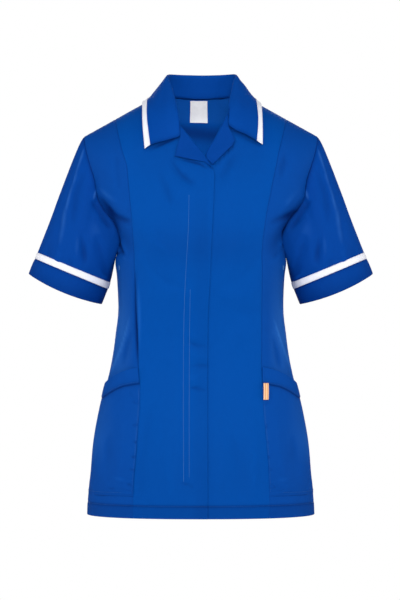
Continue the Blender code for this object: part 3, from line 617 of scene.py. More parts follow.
# The two short sleeves: one cut piece each, eased into the armhole and closed under the arm. Each keeps one long
# pressed ridge down its front, and the twist of cloth where it folds under the arm.
CUFF_CENTRE = np.array((-233.2, 0.0, -330.0))
CUFF_ACROSS, CUFF_THROUGH, CUFF_HEIGHT, CUFF_DIP = 67.8, 57.0, 28.0, 6.0
CUFF_AXIS = np.array((-0.385, 0.0, -0.923))
CUFF_OUTWARD = np.array((-0.923, 0.0, 0.385))
TAPE_WIDTH = 11.0
SLEEVE_TOP = ((-0.73, 0.0, -0.68), 0.09, 0.50)
SLEEVE_SIDE = ((-0.42, 0.22, -0.88), 0.30, 0.35)
SLEEVE_UNDER = ((-0.30, 0.0, -0.95), 0.35, 0.28)
SLEEVE_FRONT_CREASES = [
    (-197, -76, -219, -150, 2.4, 1.7, 1, 0.8), (-212, -128, -232, -196, 2.8, 2.0, 1, 0.8),
    (-227, -176, -243, -254, 4.5, 2.0, 1, 0.9), (-238, -226, -250, -290, 6, 1.4, 1, 1),
    (-194, -104, -222, -222, 9, -2.6, 4, 1), (-210, -170, -232, -268, 9, -1.6, -3, 1),
    (-204, -230, -198, -292, 6, -3.2, 2, 1), (-213, -228, -209, -294, 6, 1.9, 2, 1), (-176, -297, -158, -315, 4, 2.4, 1, 1),
    (-176, -154, -187, -180, 3, 3.2, 1, 0.8), (-190, -174, -150, -228, 5, -3.6, 3, 1), (-184, -204, -154, -262, 8, 1.6, 4, 1),
    (-174, -232, -162, -308, 8, -2.8, 4, 1), (-190, -190, -178, -282, 9, 1.7, 5, 1), (-236, -150, -262, -236, 8, 1.2, 2, 1),
    (-252, -236, -266, -286, 7, -1.8, 2, 1), (-225, -268, -222, -306, 8, -1.6, 2, 1), (-240, -262, -243, -298, 6, 1.2, 2, 1),
]
SLEEVE_BACK_CREASES = [
    (-198, -82, -216, -160, 4, 2.2, 2, 1), (-212, -142, -236, -228, 4.5, 3.1, 3, 0.8), (-192, -116, -214, -240, 9, -3.0, 4, 1),
    (-206, -224, -200, -298, 8, -2.8, 3, 1), (-178, -202, -160, -294, 8, 2.4, 5, 1), (-190, -176, -154, -234, 6, -3.6, 3, 1),
    (-246, -186, -262, -284, 9, -2.0, 3, 1), (-232, -246, -238, -308, 8, 1.9, 2, 1), (-176, -250, -168, -310, 6, -1.8, 2, 1),
]


def cuff_points(angle, height):
    """Points of the right cuff's ring, this far above its lower edge's plane."""
    turn = np.radians(angle)[..., None]
    height = np.asarray(height)[..., None]
    return (CUFF_CENTRE - height * CUFF_AXIS + CUFF_ACROSS * np.cos(turn) * CUFF_OUTWARD
            - CUFF_THROUGH * np.sin(turn) * np.array((0, 1.0, 0)))


front = ANGLES <= 180
side = np.where(front, -1.0, 1.0)
folded = np.where(front, ANGLES, 360 - ANGLES)


def at_hole(angle):
    """(points, normals) round the right armhole, on the front for the first half turn and then on the back."""
    phi, q = armhole(np.clip(angle, 0, 180))
    return (np.where(front[:, None], torso(phi, q, -1), torso(phi, q, 1)),
            np.where(front[:, None], outward(phi, q, -1), outward(phi, q, 1)))


start, hole_normal = at_hole(folded)
tangent = unit(at_hole(folded + 3)[0] - at_hole(folded - 3)[0])
away = unit(np.cross(hole_normal, tangent))
phi, q = armhole(folded)
inside = np.where(front[:, None], torso(phi + 0.1, q + 0.3, -1), torso(phi + 0.1, q + 0.3, 1))
away *= np.sign(((start - inside) * away).sum(1, keepdims=True))
turn = np.radians(ANGLES)
leave, first, second = np.zeros_like(start), 0.0, 0.0
for part, (way, near, far) in ((np.maximum(0, np.cos(turn)) ** 2, SLEEVE_TOP), (np.sin(turn) ** 2, SLEEVE_SIDE),
                               (np.maximum(0, -np.cos(turn)) ** 2, SLEEVE_UNDER)):
    leave += part[:, None] * np.array(way) * np.stack([np.ones_like(turn), side * np.abs(np.sin(turn)),
                                                        np.ones_like(turn)], 1)
    first, second = first + part * near, second + part * far
leave = unit(leave)
bend = np.maximum(0, np.arctan2((leave * hole_normal).sum(1), (leave * away).sum(1)))[:, None]
lead_in = -hole_normal * np.cos(bend) + away * np.sin(bend)
phi, q = armhole(folded)
settle = np.where(front, relief(start, -1)[0], relief(start, 1)[0]) + seamed(np.zeros(len(start)), start[:, 2])
start = start + settle[:, None] * hole_normal
end = cuff_points(ANGLES, np.full(len(ANGLES), CUFF_HEIGHT + 0.35))
length = np.linalg.norm(end - start, axis=1)[:, None]
near, far = first[:, None] * length, second[:, None] * length
controls = (start, start + near * leave, end - far * CUFF_AXIS, end)


def bezier(t):
    t = np.asarray(t)[..., None]
    a, b, c, d = controls
    return (1 - t) ** 3 * a + 3 * t * (1 - t) ** 2 * b + 3 * t * t * (1 - t) * c + t**3 * d


def tube_outward(grid):
    """Unit normals of a tube's grid of rows, pointing out of it."""
    normal = unit(np.cross(np.roll(grid, -1, axis=1) - np.roll(grid, 1, axis=1), np.gradient(grid, axis=0)))
    return normal if (normal * (grid - grid.mean(axis=1, keepdims=True))).sum() > 0 else -normal


t = np.concatenate([[0, 0.004, 0.009, 0.016, 0.026, 0.04], np.linspace(0.058, 1, 62)])[:, None]
sleeve = bezier(t)
normal = tube_outward(sleeve)
ease = np.clip(t / 0.1, 0, 1)[..., None]
normal = unit(normal * ease - lead_in * (1 - ease))
x, y, z = sleeve[..., 0], sleeve[..., 1], sleeve[..., 2]
nearer = 5000 / (5000 + y)
rise, keen = np.where(front, creased((x + 1.4) * nearer - 1.4, (z + 349.2) * nearer - 349.2, SLEEVE_FRONT_CREASES),
                      creased(x, z, SLEEVE_BACK_CREASES))
edge_on = np.clip(np.abs(y) / 15, 0, 1) ** 1.5
rise = rise * edge_on + 0.3 * np.sin(z / 21 + 2 * np.sin(turn * 2)) * np.sin(turn * 5 + z / 60)
long = steps(sleeve, 0)
rise = rise * np.clip(long / 14, 0, 1) * np.clip((long[-1] - long) / 16, 0.15, 1)
rise = rise + 0.3 * np.exp(-long / 8) * (1 - np.exp(-long)) * ripple(start[:, 2]) - 0.5 * np.exp(-(((long[-1] - long) / 1.5) ** 2))
sleeve = sleeve + rise[..., None] * normal
# Darker at the armhole and cuff seams; painted shade and highlight on the sharp folds, and painted shade towards the
# cuff and on the underside of the arm.
seam_and_painted_light = np.maximum(np.exp(-long / 3), 0.6 * np.exp(-(long[-1] - long) / 2)) + fold_shade_and_highlight(keen * edge_on)
seam_and_painted_light = seam_and_painted_light + 0.45 * np.exp(-(long[-1] - long) / 12) + 0.4 * np.clip(-np.cos(turn) - 0.2, 0, 1) * np.clip((long - 20) / 50, 0, 1)

# The cuffs are bands of the same twill, folded double and sewn on below the tape.
height = np.concatenate([[1, 0.985, 0.95], np.linspace(0.88, 0.08, 11), [0.03, 0]])[:, None]
cuff = (cuff_points(ANGLES[None], height * CUFF_HEIGHT)
        + ((1 - height) * CUFF_DIP * np.sin(turn) ** 2)[..., None] * CUFF_AXIS)
cuff_normal = tube_outward(cuff)
down = steps(cuff, 0)
swell = 0.35 * np.sin(turn * 4 + 1) * np.sin(down / 11) + 0.25 * np.sin(turn * 9 + down / 9) * np.minimum(1, down / 6)
swell = swell - 0.5 * np.exp(-((down / 1.2) ** 2)) - 0.35 * np.exp(-(((down[-1] - down) / 1.0) ** 2))
cuff = cuff + (0.25 + swell)[..., None] * cuff_normal

# White woven tape, 11 mm wide, is stitched flat round each sleeve just above its cuff.
WHITE_TAPE = None


def taped(name):
    """White cotton tape: fine ribs across, greyer towards its two edges, and painted grey shade in the hollows of the
    weave.
    """
    finish = Finish(name, Roughness=0.8, Sheen_Weight=0.1, Specular_IOR_Level=0.25)
    u, v = finish.uv()
    ribs = (u * (2 * math.pi / 0.8)).wave()
    chevron = ((v * (2 * math.pi / 1.1)).wave() * 1.2 + u * (2 * math.pi / 1.3)).wave()
    loose = finish.noise(finish.point(u * 0.4, v * 0.9), 1.0, 3.0)
    seam_and_painted_light = finish.node("ShaderNodeAttribute", {"attribute_name": "seam_and_painted_light"}, {}, "Fac")
    mixed = finish.mix(loose * 0.8 + chevron * 0.08, rgb(222, 224, 236), rgb(248, 248, 252))
    finish.feed("Base Color", finish.mix(seam_and_painted_light * 0.5, mixed, rgb(196, 200, 220)))
    finish.bump(ribs * 0.4 + chevron * 0.5 + loose, 0.4, 0.00015)
    return finish.material


WHITE_TAPE = taped("white_tape")
width = np.array([1, 0.96, 0.86, 0.74, 0.6, 0.46, 0.32, 0.18, 0.05, 0.0])[:, None]
band = bezier(1 - width * TAPE_WIDTH / (3 * far[:, 0]))
band_normal = tube_outward(band)
crown = 0.55 + 0.35 * np.sin(math.pi * width) ** 0.5 + 0.1 * np.sin(turn * 13)
band = band + crown[..., None] * band_normal
MIRROR = np.array((-1.0, 1.0, 1.0))
for hand, turned in (("right", np.ones(3)), ("left", MIRROR)):
    cloth(f"sleeve_{hand}_cloth", f"sleeve_{hand}", sleeve * turned, normal * turned, CLOTH,
          SLEEVE_CLOTH, closed=True, seam_and_painted_light=seam_and_painted_light)
    # The cuff is darker at its top seam and a little darker all over, with painted shade towards its lower edge and on
    # its underside.
    cloth(f"cuff_{hand}_cloth", f"cuff_{hand}", cuff * turned, cuff_normal * turned, 1.6, SLEEVE_CLOTH,
          closed=True, seam_and_painted_light=0.15 + 0.85 * np.exp(-down / 2) + 0.4 * (1 - height) ** 2 + 0.25 * np.clip(-np.cos(turn), 0, 1))
    cloth(f"cuff_tape_{hand}_cloth", f"cuff_tape_{hand}", band * turned, band_normal * turned, 0.6, WHITE_TAPE,
          closed=True, seam_and_painted_light=np.repeat(np.exp(-6 * np.minimum(width, 1 - width)), len(ANGLES), 1) ** 2)

# The collar is cut double, with its stand: it is sewn to the neck, stands 40 mm up behind it, rolls over and falls
# to a point on each front. White tape is stitched along its outer edge from point to point.
COLLAR_BACK = ((0, 75.5, 1), (0, 62, 40.5), (0, 86, -8))
COLLAR_RIGHT = [((-30, 69.5, 1.5), (-27, 56, 41), (-36, 83, -9)), ((-55, 49, 2.5), (-46, 41, 41), (-68, 71, -10)),
                ((-67, 22, 3.5), (-56, 24, 39.5), (-89, 42, -11)), ((-70, 0, 3.9), (-58.5, 5, 35.5), (-96, 4, -11)),
                ((-67.5, -24, -3), (-55, -17, 25), (-97, -36, -24)), ((-61, -47, -17), (-49.5, -44, 6), (-98, -66, -44)),
                ((-49, -72, -34), (-43.5, -68, -18), (-96.5, -84, -68))]
COLLAR_LEFT = [((30, 69.5, 1.5), (28, 56, 41), (36, 83, -9)), ((55, 49, 2.5), (48, 41, 41), (69, 71, -10)),
               ((67, 22, 3.5), (59, 24, 40), (91, 42, -11)), ((70, 0, 3.9), (62, 5, 36), (98.5, 4, -11)),
               ((68.5, -18, -1), (58.5, -12, 27), (100.5, -32, -24)), ((64, -39, -13), (54.5, -36, 9), (103, -59, -41)),
               ((56, -60, -23), (50.5, -58, -9), (103.4, -76, -62))]
COLLAR_EDGE_RIGHT = [(-35.7, -52.7), (-35.2, -72.4), (-60, -81), (-83.3, -88.5), (-94, -94.5)]
COLLAR_EDGE_LEFT = [(46.9, -30.8), (46.4, -55.5), (68, -68), (90.5, -81), (103.2, -87.5)]
FALL = (0.1, 0.25, 0.42, 0.6)
FALL_LIFT = 3.0


def clear_of_torso(points, lift):
    """The points, moved out where they are nearer than lift to the torso."""
    found = points.copy()
    for side in (-1, 1):
        phi, q = place_of(points[..., 0], points[..., 2])
        normal = outward(phi, q, side)
        above = ((points - torso(phi, q, side)) * normal).sum(-1)
        low = (points[..., 2] <= shoulder_z(points[..., 0]) + lift) & (np.sign(points[..., 1]) != -side)
        found = found + (np.maximum(0, lift - above) * low)[..., None] * normal
    return found


def collar_section(seam, roll, rim):
    """The collar's middle surface at a station, from the neck seam over the roll to the outer edge."""
    seam, roll, rim = (np.array(p, float) for p in (seam, roll, rim))
    away = unit((rim - seam) * (1, 1, 0))
    base = seam - 0.95 * away + np.array((0, 0, 0.7))
    points = [base, base + 0.5 * (roll - base) - 0.5 * away, roll - 2.4 * away + np.array((0, 0, -2.4)), roll]
    start = roll + 2.4 * away + np.array((0, 0, -2.4))
    for share in (*FALL, 1 - TAPE_WIDTH / np.linalg.norm(rim - start), 1):
        point = start + share * (rim - start) + 5 * share * (1 - share) * np.array((0, 0, 1.0))
        points.append(clear_of_torso(point, FALL_LIFT))
    return points


def collar_end(line):
    """The collar's middle surface along its front edge."""
    line = np.array(line, float)
    gorge, high = (on_torso(*line[0], -1, lift) for lift in (0.9, 4.2))
    up = np.array((0, 0, 1.0))
    points = [gorge + 3.6 * up, (gorge + high) / 2 + 4 * up, high + 3.4 * up, high + 1.8 * up]
    lengths = np.concatenate([[0], np.cumsum(np.linalg.norm(np.diff(line, axis=0), axis=1))])
    for share in (*FALL, 1 - TAPE_WIDTH / lengths[-1], 1):
        at = share * lengths[-1]
        points.append(on_torso(np.interp(at, lengths, line[:, 0]), np.interp(at, lengths, line[:, 1]), -1, FALL_LIFT))
    return points


stations = ([collar_end(COLLAR_EDGE_RIGHT)] + [collar_section(*s) for s in reversed(COLLAR_RIGHT)]
            + [collar_section(*COLLAR_BACK)] + [collar_section(*s) for s in COLLAR_LEFT]
            + [collar_end(COLLAR_EDGE_LEFT)])
collar = along(np.array(stations), 145).swapaxes(0, 1)
collar = along(collar, 37)
collar[13:] = clear_of_torso(collar[13:], FALL_LIFT)
for _ in range(12):
    collar[13:, 1:-1] = (collar[13:, :-2] + 2 * collar[13:, 1:-1] + collar[13:, 2:]) / 4
away = unit(np.cross(np.gradient(collar, axis=1), np.gradient(collar, axis=0)))
away = away if away[-2, collar.shape[1] // 2, 1] > 0 else -away
across, down = steps(collar, 1), steps(collar, 0)
ends = np.minimum(across, across[:, -1:] - across)
wave = 0.35 * np.sin(across / 14 + down / 9) * np.clip(down / 30 - 0.5, 0, 1)
front_edge = np.exp(-ends / 7) * np.clip((down - 48) / 20, 0, 1) * np.clip((down[-1] - down) / 14, 0, 1)
collar = collar + (wave + 4.2 * front_edge)[..., None] * away
cloth("collar_cloth", "collar", collar + 0.6 * away, away, 1.2, COLLAR_CLOTH,
      seam_and_painted_light=np.maximum(0.4 * np.exp(-down / 2.5), 0.5 * np.exp(-ends / 2)) - 0.05 * np.clip((44 - down) / 8, 0, 1))
rows = np.linspace(32, 36, 9)
low = rows.astype(int).clip(0, 35)
strip = collar[low] + (rows - low)[:, None, None] * (collar[low + 1] - collar[low])
strip_away = unit(away[low] + (rows - low)[:, None, None] * (away[low + 1] - away[low]))
place = np.linspace(0, 1, 9)[:, None]
strip = strip + (0.6 + 0.7 + 0.12 * np.sin(across[-1] / 5))[..., None] * strip_away
cloth("collar_tape_cloth", "collar_tape", strip, strip_away, 0.55, WHITE_TAPE,
      seam_and_painted_light=np.repeat(np.exp(-6 * np.minimum(place, 1 - place)), strip.shape[1], 1) ** 2)

# The lapels are the tops of the fronts turned back with their facing: each rolls over at the front's edge, lies on
# the front and stands off it a little towards its point.
LAPEL_EDGE_RIGHT = [(-34.4, -73.6), (-39.5, -92), (-43.5, -107.5), (-18, -112.6), (6.3, -117.3), (17.5, -126.3)]
LAPEL_EDGE_LEFT = [(45.0, -57.6), (52, -68), (57.3, -80.5), (52, -90), (42.4, -99.2), (21.0, -120.5)]
LAPEL_ROLL_RIGHT = [(-34.8, -54.4), (-15.1, -79), (6.2, -105.6), (19.6, -129.3)]
LAPEL_ROLL_LEFT = [(45.3, -33.2), (28, -69), (9.0, -103.5), (18.9, -121)]


def cornered(line, count):
    """Points at equal steps along straight runs, for an edge whose corners stay crisp."""
    line = np.array(line, float)
    lengths = np.concatenate([[0], np.cumsum(np.linalg.norm(np.diff(line, axis=0), axis=1))])
    at = np.unique(np.concatenate([np.linspace(0, lengths[-1], count - len(line) + 2), lengths[1:-1]]))
    at = np.interp(np.linspace(0, len(at) - 1, count), np.arange(len(at)), at)
    return np.stack([np.interp(at, lengths, line[:, k]) for k in (0, 1)], axis=1)


for hand, roll, rim in (("right", LAPEL_ROLL_RIGHT, LAPEL_EDGE_RIGHT), ("left", LAPEL_ROLL_LEFT, LAPEL_EDGE_LEFT)):
    roll, rim = along(roll, 64)[:, None], cornered(rim, 64)[:, None]
    share = np.concatenate([[0, 0.01, 0.03], np.linspace(0.07, 0.97, 24), [1.0]])[None]
    flat = roll + (rim - roll) * share[..., None]
    rise = 1.55 + 2.3 * np.sin(math.pi / 2 * share) - 1.0 * np.exp(-((share / 0.02) ** 2))
    ends = np.linspace(0, 1, 64)[:, None]
    rise = rise + 0.5 * np.sin(3 * math.pi * ends + 4 * share) * share * np.sin(math.pi * ends)
    face = on_torso(flat[..., 0], flat[..., 1], -1, rise)
    smooth = outward(*place_of(flat[..., 0], flat[..., 1]), -1)
    # Painted shade over each lapel, deeper towards its outer edge.
    cloth(f"lapel_{hand}_cloth", f"lapel_{hand}", face, smooth, 1.1, COLLAR_CLOTH,
          seam_and_painted_light=0.22 + 0.3 * np.exp(-(1 - share) * 20) + 0 * ends)

# A patch pocket covers the lower half of each side front: its bag is sewn in at the princess and side seams, and its
# mouth has a wide turned band, which stands away from the hip.
POCKET = np.array([(100, -462, -490), (118, -466.5, -493.5), (131, -471.5, -496.5), (143, -478.5, -502.5),
                   (153, -486, -509), (164, -495, -517)], float)
POCKET_LOW_Z = -680.0
POCKET_LIFT = 2.6


def patch(heights, seam, hand, rise, columns):
    """(points, normals) of a piece on the side front: rows of height z(x), from the princess to the side seam."""
    line = np.array(seam)[::-1]
    u = spread(columns)[None]
    x = np.full((len(heights), columns), 130.0)
    for _ in range(8):
        z = np.array([height(x[r]) for r, height in enumerate(heights)])
        near = place_of(np.abs(np.interp(z, line[:, 1], line[:, 0])) + 0.45, z)[0]
        phi = near + (math.pi / 2 - 0.004 - near) * u
        x = torso_size(z, 1) * np.abs(np.sin(phi)) ** (2 / torso_size(z, 4))
    q = place_of(x, z)[1]
    v = np.linspace(0, 1, len(heights))[:, None]
    normal = outward(hand * phi, q, -1)
    return torso(hand * phi, q, -1) + rise(u, v)[..., None] * normal, normal


def pocket_rise(u, v):
    return 0.55 + POCKET_LIFT * np.sin(math.pi * u) ** 0.7 * (1 - v**2) + 0.4 * u * (1 - v)


def band_rise(u, v):
    return 0.55 + (POCKET_LIFT + 1.2 * (1 - v)) * np.sin(math.pi * u) ** 0.7 + 0.4 * u + 0 * v


POCKET_CREASES = [
    (-129, -668, -112, -669, 1.8, -1.6, 0, 1), (-162, -673, -111, -681, 2.6, -2.3, 1, 0.8),
    (-150, -560, -163, -668, 9, -2.2, 4, 1), (-134, -540, -142, -660, 9, 1.9, -3, 1), (-172, -520, -182, -660, 8, 1.8, 2, 1),
    (-122, -500, -108, -528, 6, -1.8, 2, 1), (-118, -524, -105, -526, 2, -1.6, 0, 1), (-118, -566, -105, -564, 2, -1.6, 0, 1),
    (-120, -592, -107, -594, 2, -1.4, 0, 1), (-121, -618, -109, -619, 2, -1.6, 0, 1), (-124, -640, -111, -643, 2.4, -1.8, 0, 1),
    (-160, -650, -120, -658, 5, 1.5, 2, 1), (-188, -655, -181, -690, 4, 1.4, 1, 0.6), (-164, -500, -150, -560, 9, 1.2, 3, 1),
]
mouths, inner_edges = [], []


def on_patch(face, smooth, lift, row):
    """Points along a row of a pocket's grid, this share of the way down it, lifted off it."""
    at = int(row * (len(face) - 1))
    return face[at] + lift * smooth[at]


for hand, sign, seam in (("right", -1, PRINCESS_RIGHT), ("left", 1, PRINCESS_LEFT)):
    shares = np.concatenate([[0, 0.004, 0.012], np.linspace(0.025, 0.985, 52), [0.994, 1.0]])
    face, smooth = patch([lambda x, s=s: np.interp(x, POCKET[:, 0], POCKET[:, 2]) * (1 - s) + POCKET_LOW_Z * s
                          for s in shares], seam, sign, lambda u, v: pocket_rise(u, shares[:, None]), 34)
    nearer = 5000 / (5000 + face[..., 1])
    x, z = (sign * -1 * ((face[..., 0] + 1.4) * nearer - 1.4), (face[..., 2] + 349.2) * nearer - 349.2)
    from_princess = steps(face, 1)
    low = (steps(face, 0)[-1] - steps(face, 0))
    gone, keen = creased(x, z + (0 if sign < 0 else 1.5), POCKET_CREASES)
    gone = gone * np.clip(from_princess / 2 + 0.3, 0, 1)
    gone = gone + 0.25 * np.exp(-from_princess / 6) * ripple(face[..., 2]) - 0.3 * np.exp(-((low / 1.2) ** 2))
    tops = steps(face, 0)
    gone = gone * np.clip(tops / 4 + 0.1, 0, 1)
    # Darker at the band seam and lower edge; painted shade and highlight on the sharp folds, painted light beside the
    # princess seam and towards the side, and painted shade over the lower part.
    seam_and_painted_light = np.maximum(np.exp(-tops / 2.2), 0.3 * np.exp(-low / 2)) + fold_shade_and_highlight(keen) - 0.15 * np.exp(-from_princess / 2)
    seam_and_painted_light = seam_and_painted_light - 0.14 * np.clip((np.abs(face[..., 0]) - 145) / 25, 0, 1) * np.clip(low / 90, 0, 1)
    seam_and_painted_light = seam_and_painted_light + 0.16 * np.clip(1 - low / 90, 0, 1)
    bag = face + gone[..., None] * smooth
    cloth(f"pocket_{hand}_cloth", f"pocket_{hand}", bag, smooth, CLOTH, SIDE_CLOTH, seam_and_painted_light=seam_and_painted_light)
    mouths.append((bag[-4] + 0.2 * smooth[-4], smooth[-4]))
    inner_edges.append((bag[4:-3, 2] + 0.2 * smooth[4:-3, 2], smooth[4:-3, 2]))
    shares = np.concatenate([[0, 0.02, 0.06], np.linspace(0.12, 0.9, 10), [0.96, 1.0]])
    face, smooth = patch([lambda x, s=s: np.interp(x, POCKET[:, 0], POCKET[:, 1]) * (1 - s)
                          + (np.interp(x, POCKET[:, 0], POCKET[:, 2]) + 0.1) * s for s in shares], seam, sign,
                         lambda u, v: band_rise(u, shares[:, None]), 34)
    mouths.append((on_patch(face, smooth, 1.6, 0.88), smooth[-1]))
    v = shares[:, None]
    puff = 1.1 + 0.35 * np.sin(math.pi * v) + 0.18 * ripple(face[..., 0] * 1.3) * v - 0.45 * np.exp(-((v - 1) / 0.05) ** 2)
    cloth(f"pocket_band_{hand}_cloth", f"pocket_band_{hand}", face + puff[..., None] * smooth, smooth,
          1.3, SIDE_CLOTH, seam_and_painted_light=np.repeat(np.exp(-(1 - v) * 10), 34, 1))

# The maker's tab is a scrap of pale orange woven ribbon, caught in the left pocket's band seam, and left bare.
TAB = (104.2, 112.6, -490.5, -517.8)
ribbon = Finish("orange_ribbon", Roughness=0.6, Specular_IOR_Level=0.35)
u, v = ribbon.uv()
ribs = (v * (2 * math.pi / 0.6)).wave()
edges = (u * (math.pi / 4.4)).maths("COSINE", u * (math.pi / 4.4)).power(2.0)
ribbon.feed("Base Color", ribbon.mix(edges, rgb(222, 150, 100), rgb(242, 204, 162)))
ribbon.bump(ribs, 0.4, 0.0001)
satin = Finish("white_satin", Roughness=0.38, Specular_IOR_Level=0.5, Sheen_Weight=0.1)
u, v = satin.uv()
fine = (v * (2 * math.pi / 0.5)).wave()
slack = satin.noise(satin.point(u * 0.12, v * 0.12), 1.0, 2.0)
satin.feed("Base Color", satin.mix(slack, rgb(240, 240, 240), rgb(255, 255, 255)))
satin.bump(fine * 0.4 + slack, 0.3, 0.0001)


def small_grid(box, rows, columns):
    return (np.linspace(box[0], box[1], columns)[None] + np.zeros((rows, 1)),
            np.linspace(box[2], box[3], rows)[:, None] + np.zeros((1, columns)))


x, z = small_grid(TAB, 16, 8)
hang = np.linspace(0, 1, 16)[:, None]
lift = 3.75 + 0.7 * np.sin(math.pi * hang) + 0.3 * np.sin(x * 2)
cloth("pocket_tab_cloth", "pocket_tab", on_torso(x, z, -1, lift + 0.6), outward(*place_of(x, z), -1), 0.7,
      ribbon.material)

# The neck label is a plain slip of white satin, sewn in at its top edge under the collar; it hangs inside the back.
LABEL = (-18.9, 12.0, -0.6, -38.0)
x, z = small_grid(LABEL, 22, 18)
hang = np.linspace(0, 1, 22)[:, None]
off = 3.0 + 1.3 * hang**2 * np.sin(x / 9 + 0.6) + 0.6 * np.sin(5 * hang)
cloth("neck_label_cloth", "neck_label", on_torso(x, z, 1, -off), -outward(*place_of(x, z), 1), 0.5,
      satin.material)

# The stitching is polyester thread, each stitch a short raised run of it: pale blue down the placket and in the
# bar tacks, matching blue round the hem and on the pockets, and white on the tapes and the label.
def thread(name, colour):
    finish = Finish(name, Roughness=0.55, Specular_IOR_Level=0.2)
    place = finish.node("ShaderNodeTexCoord", {}, {}, "Object")
    finish.feed("Base Color", finish.mix(finish.noise(place, 900.0), rgb(*colour), rgb(*(0.8 * c for c in colour))))
    return finish.material


RUN = [(-0.5, 0.0, 0.25)]  # one stitch: shares of its length, its thickness and its thickness upward
RUN += [(a, math.cos(t) * r, 0.5 + math.sin(t) * r) for a, r in ((-0.36, 0.42), (0.0, 0.5), (0.36, 0.42))
        for t in np.arange(6) * math.pi / 3]
RUN = np.array(RUN + [(0.5, 0.0, 0.25)])
RUN_FACES = [(0, 1 + k, 1 + (k + 1) % 6, 1 + (k + 1) % 6) for k in range(6)]
RUN_FACES += [(1 + 6 * r + k, 7 + 6 * r + k, 7 + 6 * r + (k + 1) % 6, 1 + 6 * r + (k + 1) % 6)
              for r in range(2) for k in range(6)]
RUN_FACES += [(13 + k, 19, 13 + (k + 1) % 6, 13 + (k + 1) % 6) for k in range(6)]


def stitching(name, finish, rows, pitch, run, thick):
    """Rows of stitches along lines of (points, normals), as one mesh."""
    points, faces = [], []
    for line, normal in rows:
        lengths = np.concatenate([[0], np.cumsum(np.linalg.norm(np.diff(line, axis=0), axis=1))])
        at = np.arange(pitch / 2, lengths[-1], pitch)
        middle, before, after, up = (
            np.stack([np.interp(where, lengths, grid[:, k]) for k in range(3)], axis=1)
            for where, grid in ((at, line), (at - run / 2, line), (at + run / 2, line), (at, normal))
        )
        ahead = unit(after - before)
        beside = unit(np.cross(up, ahead))
        up = np.cross(ahead, beside)
        made = (middle[:, None] + run * RUN[:, 0, None] * ahead[:, None] + thick * RUN[:, 1, None] * beside[:, None]
                + thick * (RUN[:, 2, None] - 0.25) * up[:, None])
        first = len(RUN) * (np.arange(len(at)) + sum(len(p) for p in points) // len(RUN))
        points.append(made.reshape(-1, 3))
        faces += [[int(base + c) for c in dict.fromkeys(face)] for base in first for face in RUN_FACES]
    mesh = bpy.data.meshes.new(name)
    mesh.from_pydata((np.concatenate(points) * MM).tolist(), [], faces)
    mesh.polygons.foreach_set("use_smooth", np.ones(len(faces), bool))
    mesh.materials.append(finish)
    piece = bpy.data.objects.new(name, mesh)
    bpy.context.scene.collection.objects.link(piece)
    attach(piece, "root")
    return piece


def sewn(x, z, side):
    """(points, normals) on the creased body cloth, for thread to lie on."""
    x, z = np.broadcast_arrays(np.asarray(x, float), np.asarray(z, float))
    form = on_torso(x, z, side)
    line = np.array(ROLL_RIGHT + OVERLAP_EDGE[1:])[::-1]
    under = np.where((side < 0) & (x > np.interp(z, line[:, 1], line[:, 0])), under_overlap(x, z), 0)
    normal = outward(*place_of(x, z), side)
    return form + (relief(form, side)[0] + hemmed(z - HEM_Z) + 0.15 - under)[:, None] * normal, normal


PLACKET_OUTER = [(-19.9, -172.9), (-21, -230.3), (-27.4, -349.2), (-29.4, -463.7), (-28.9, -654.2)]
PLACKET_INNER = [(-17.8, -331), (-19.3, -430), (-19.6, -540), (-19.5, -645)]
pale_thread, blue_thread, white_thread = (thread(*of) for of in (
    ("pale_thread", (96, 158, 222)), ("blue_thread", (24, 92, 176)), ("white_thread", (244, 245, 250))))
stitching("placket_stitching", pale_thread,
          [sewn(*along(line, 400).T, -1) for line in (PLACKET_OUTER, PLACKET_INNER)], 3.3, 2.0, 0.5)
TACKS = (-138.1, 140.2)
tack_rows = [sewn(np.full(2, x) + (-0.9, 0.9), np.full(2, z), -1) for x in TACKS for z in np.arange(-297.6, -290.5, 0.6)]
stitching("bar_tacks", pale_thread, tack_rows, 1.8, 1.7, 0.5)
stitching("pocket_edge_stitching", blue_thread, inner_edges, 3.0, 2.3, 0.42)
stitching("pocket_stitching", blue_thread, mouths, 2.8, 2.2, 0.5)
turn = np.linspace(-math.pi / 2, math.pi / 2, 420)[1:-1]
at_hem = np.copysign(torso_size(HEM_Z + HEM, 1) * np.abs(np.sin(turn)) ** (2 / torso_size(HEM_Z + HEM, 4)), turn)
stitching("hem_stitching", blue_thread,
          [sewn(at_hem, np.full(len(at_hem), HEM_Z + HEM), side) for side in (-1, 1)], 2.8, 2.2, 0.5)
tape_rows = [(line + 0.1 * up, up) for line, up in ((strip[1], strip_away[1]), (strip[7], strip_away[7]))]
for turned in (np.ones(3), MIRROR):
    for near, far_row, share in ((1, 2, 0.5), (7, 8, 0.6)):
        line, up = (grid[near] * (1 - share) + grid[far_row] * share for grid in (band, band_normal))
        line, up = (np.concatenate([grid, grid[:1]]) * turned for grid in (line, up))
        tape_rows.append((line + 0.1 * up, up))
stitching("tape_stitching", white_thread, tape_rows, 2.5, 1.9, 0.42)
label_x = np.linspace(LABEL[0] + 1.5, LABEL[1] - 1.5, 30)
label_up = -outward(*place_of(label_x, np.full(30, LABEL[2] - 2.0)), 1)
stitching("label_stitching", white_thread,
          [(on_torso(label_x, np.full(30, LABEL[2] - 2.0), 1, np.full(30, -3.4)), label_up)], 2.4, 1.8, 0.4)

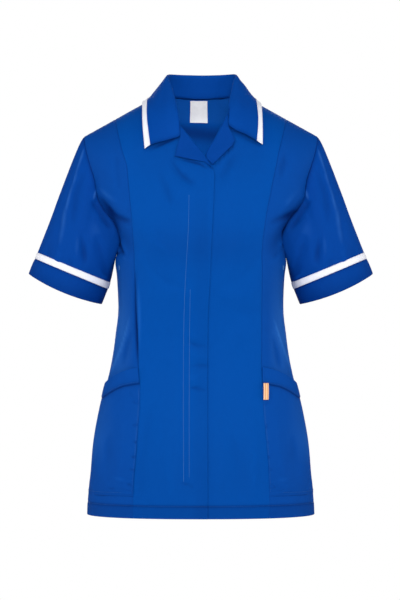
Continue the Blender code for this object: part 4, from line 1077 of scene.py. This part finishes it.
# The floor is a plain pale sheet well below the hem; broad soft lamps stand in front, to the side and above.
bpy.ops.object.select_all(action="DESELECT")
bpy.ops.mesh.primitive_plane_add(size=5.0, location=(0, -0.4, -1.28))
floor = bpy.context.object
floor.name = "studio_floor"
paper = Finish("pale_paper", Base_Color=(0.9, 0.9, 0.9, 1.0), Roughness=0.9)
grain = paper.noise(paper.node("ShaderNodeTexCoord", {}, {}, "Object"), 40.0)
paper.feed("Roughness", 0.85 + grain * 0.1)
floor.data.materials.append(paper.material)
for name, place, aim, size, power in (
    ("centre_lamp", (0.1, -4.2, 0.9), (0, 0, -0.3), 1.3, 92),
    ("left_front_lamp", (-2.3, -3.1, 0.9), (0, 0, -0.3), 1.5, 34),
    ("right_front_lamp", (2.2, -3.2, 0.8), (0, 0, -0.3), 1.5, 29),
    ("neck_lamp", (0.0, -0.07, -0.15), (0, 0.08, -0.03), 0.06, 0.13),
    ("top_lamp", (0.0, -1.6, 2.2), (0, 0, -0.3), 1.6, 9),
    ("left_lamp", (-2.8, 0.0, -0.2), (0, 0, -0.35), 1.8, 22),
    ("right_lamp", (2.8, 0.0, -0.2), (0, 0, -0.35), 1.8, 22),
    ("back_lamp", (0.0, 3.6, 0.6), (0, 0, -0.35), 2.4, 70),
):
    lamp = bpy.data.lights.new(name, "AREA")
    lamp.shape = "SQUARE"
    lamp.size = size
    lamp.energy = power
    stand = bpy.data.objects.new(name, lamp)
    stand.location = place
    way = np.array(aim) - np.array(place)
    stand.rotation_euler = (math.acos(-way[2] / np.linalg.norm(way)), 0, math.atan2(way[1], way[0]) - math.pi / 2)
    bpy.context.scene.collection.objects.link(stand)
world = bpy.data.worlds.new("studio")
world.use_nodes = True
backdrop = world.node_tree.nodes["Background"]
backdrop.inputs["Color"].default_value = (1, 1, 1, 1)
to_camera = world.node_tree.nodes.new("ShaderNodeLightPath")
strength = world.node_tree.nodes.new("ShaderNodeMapRange")
strength.inputs["To Min"].default_value = 0.2
strength.inputs["To Max"].default_value = 1.0
world.node_tree.links.new(to_camera.outputs["Is Camera Ray"], strength.inputs["Value"])
world.node_tree.links.new(strength.outputs[0], backdrop.inputs["Strength"])
bpy.context.scene.world = world
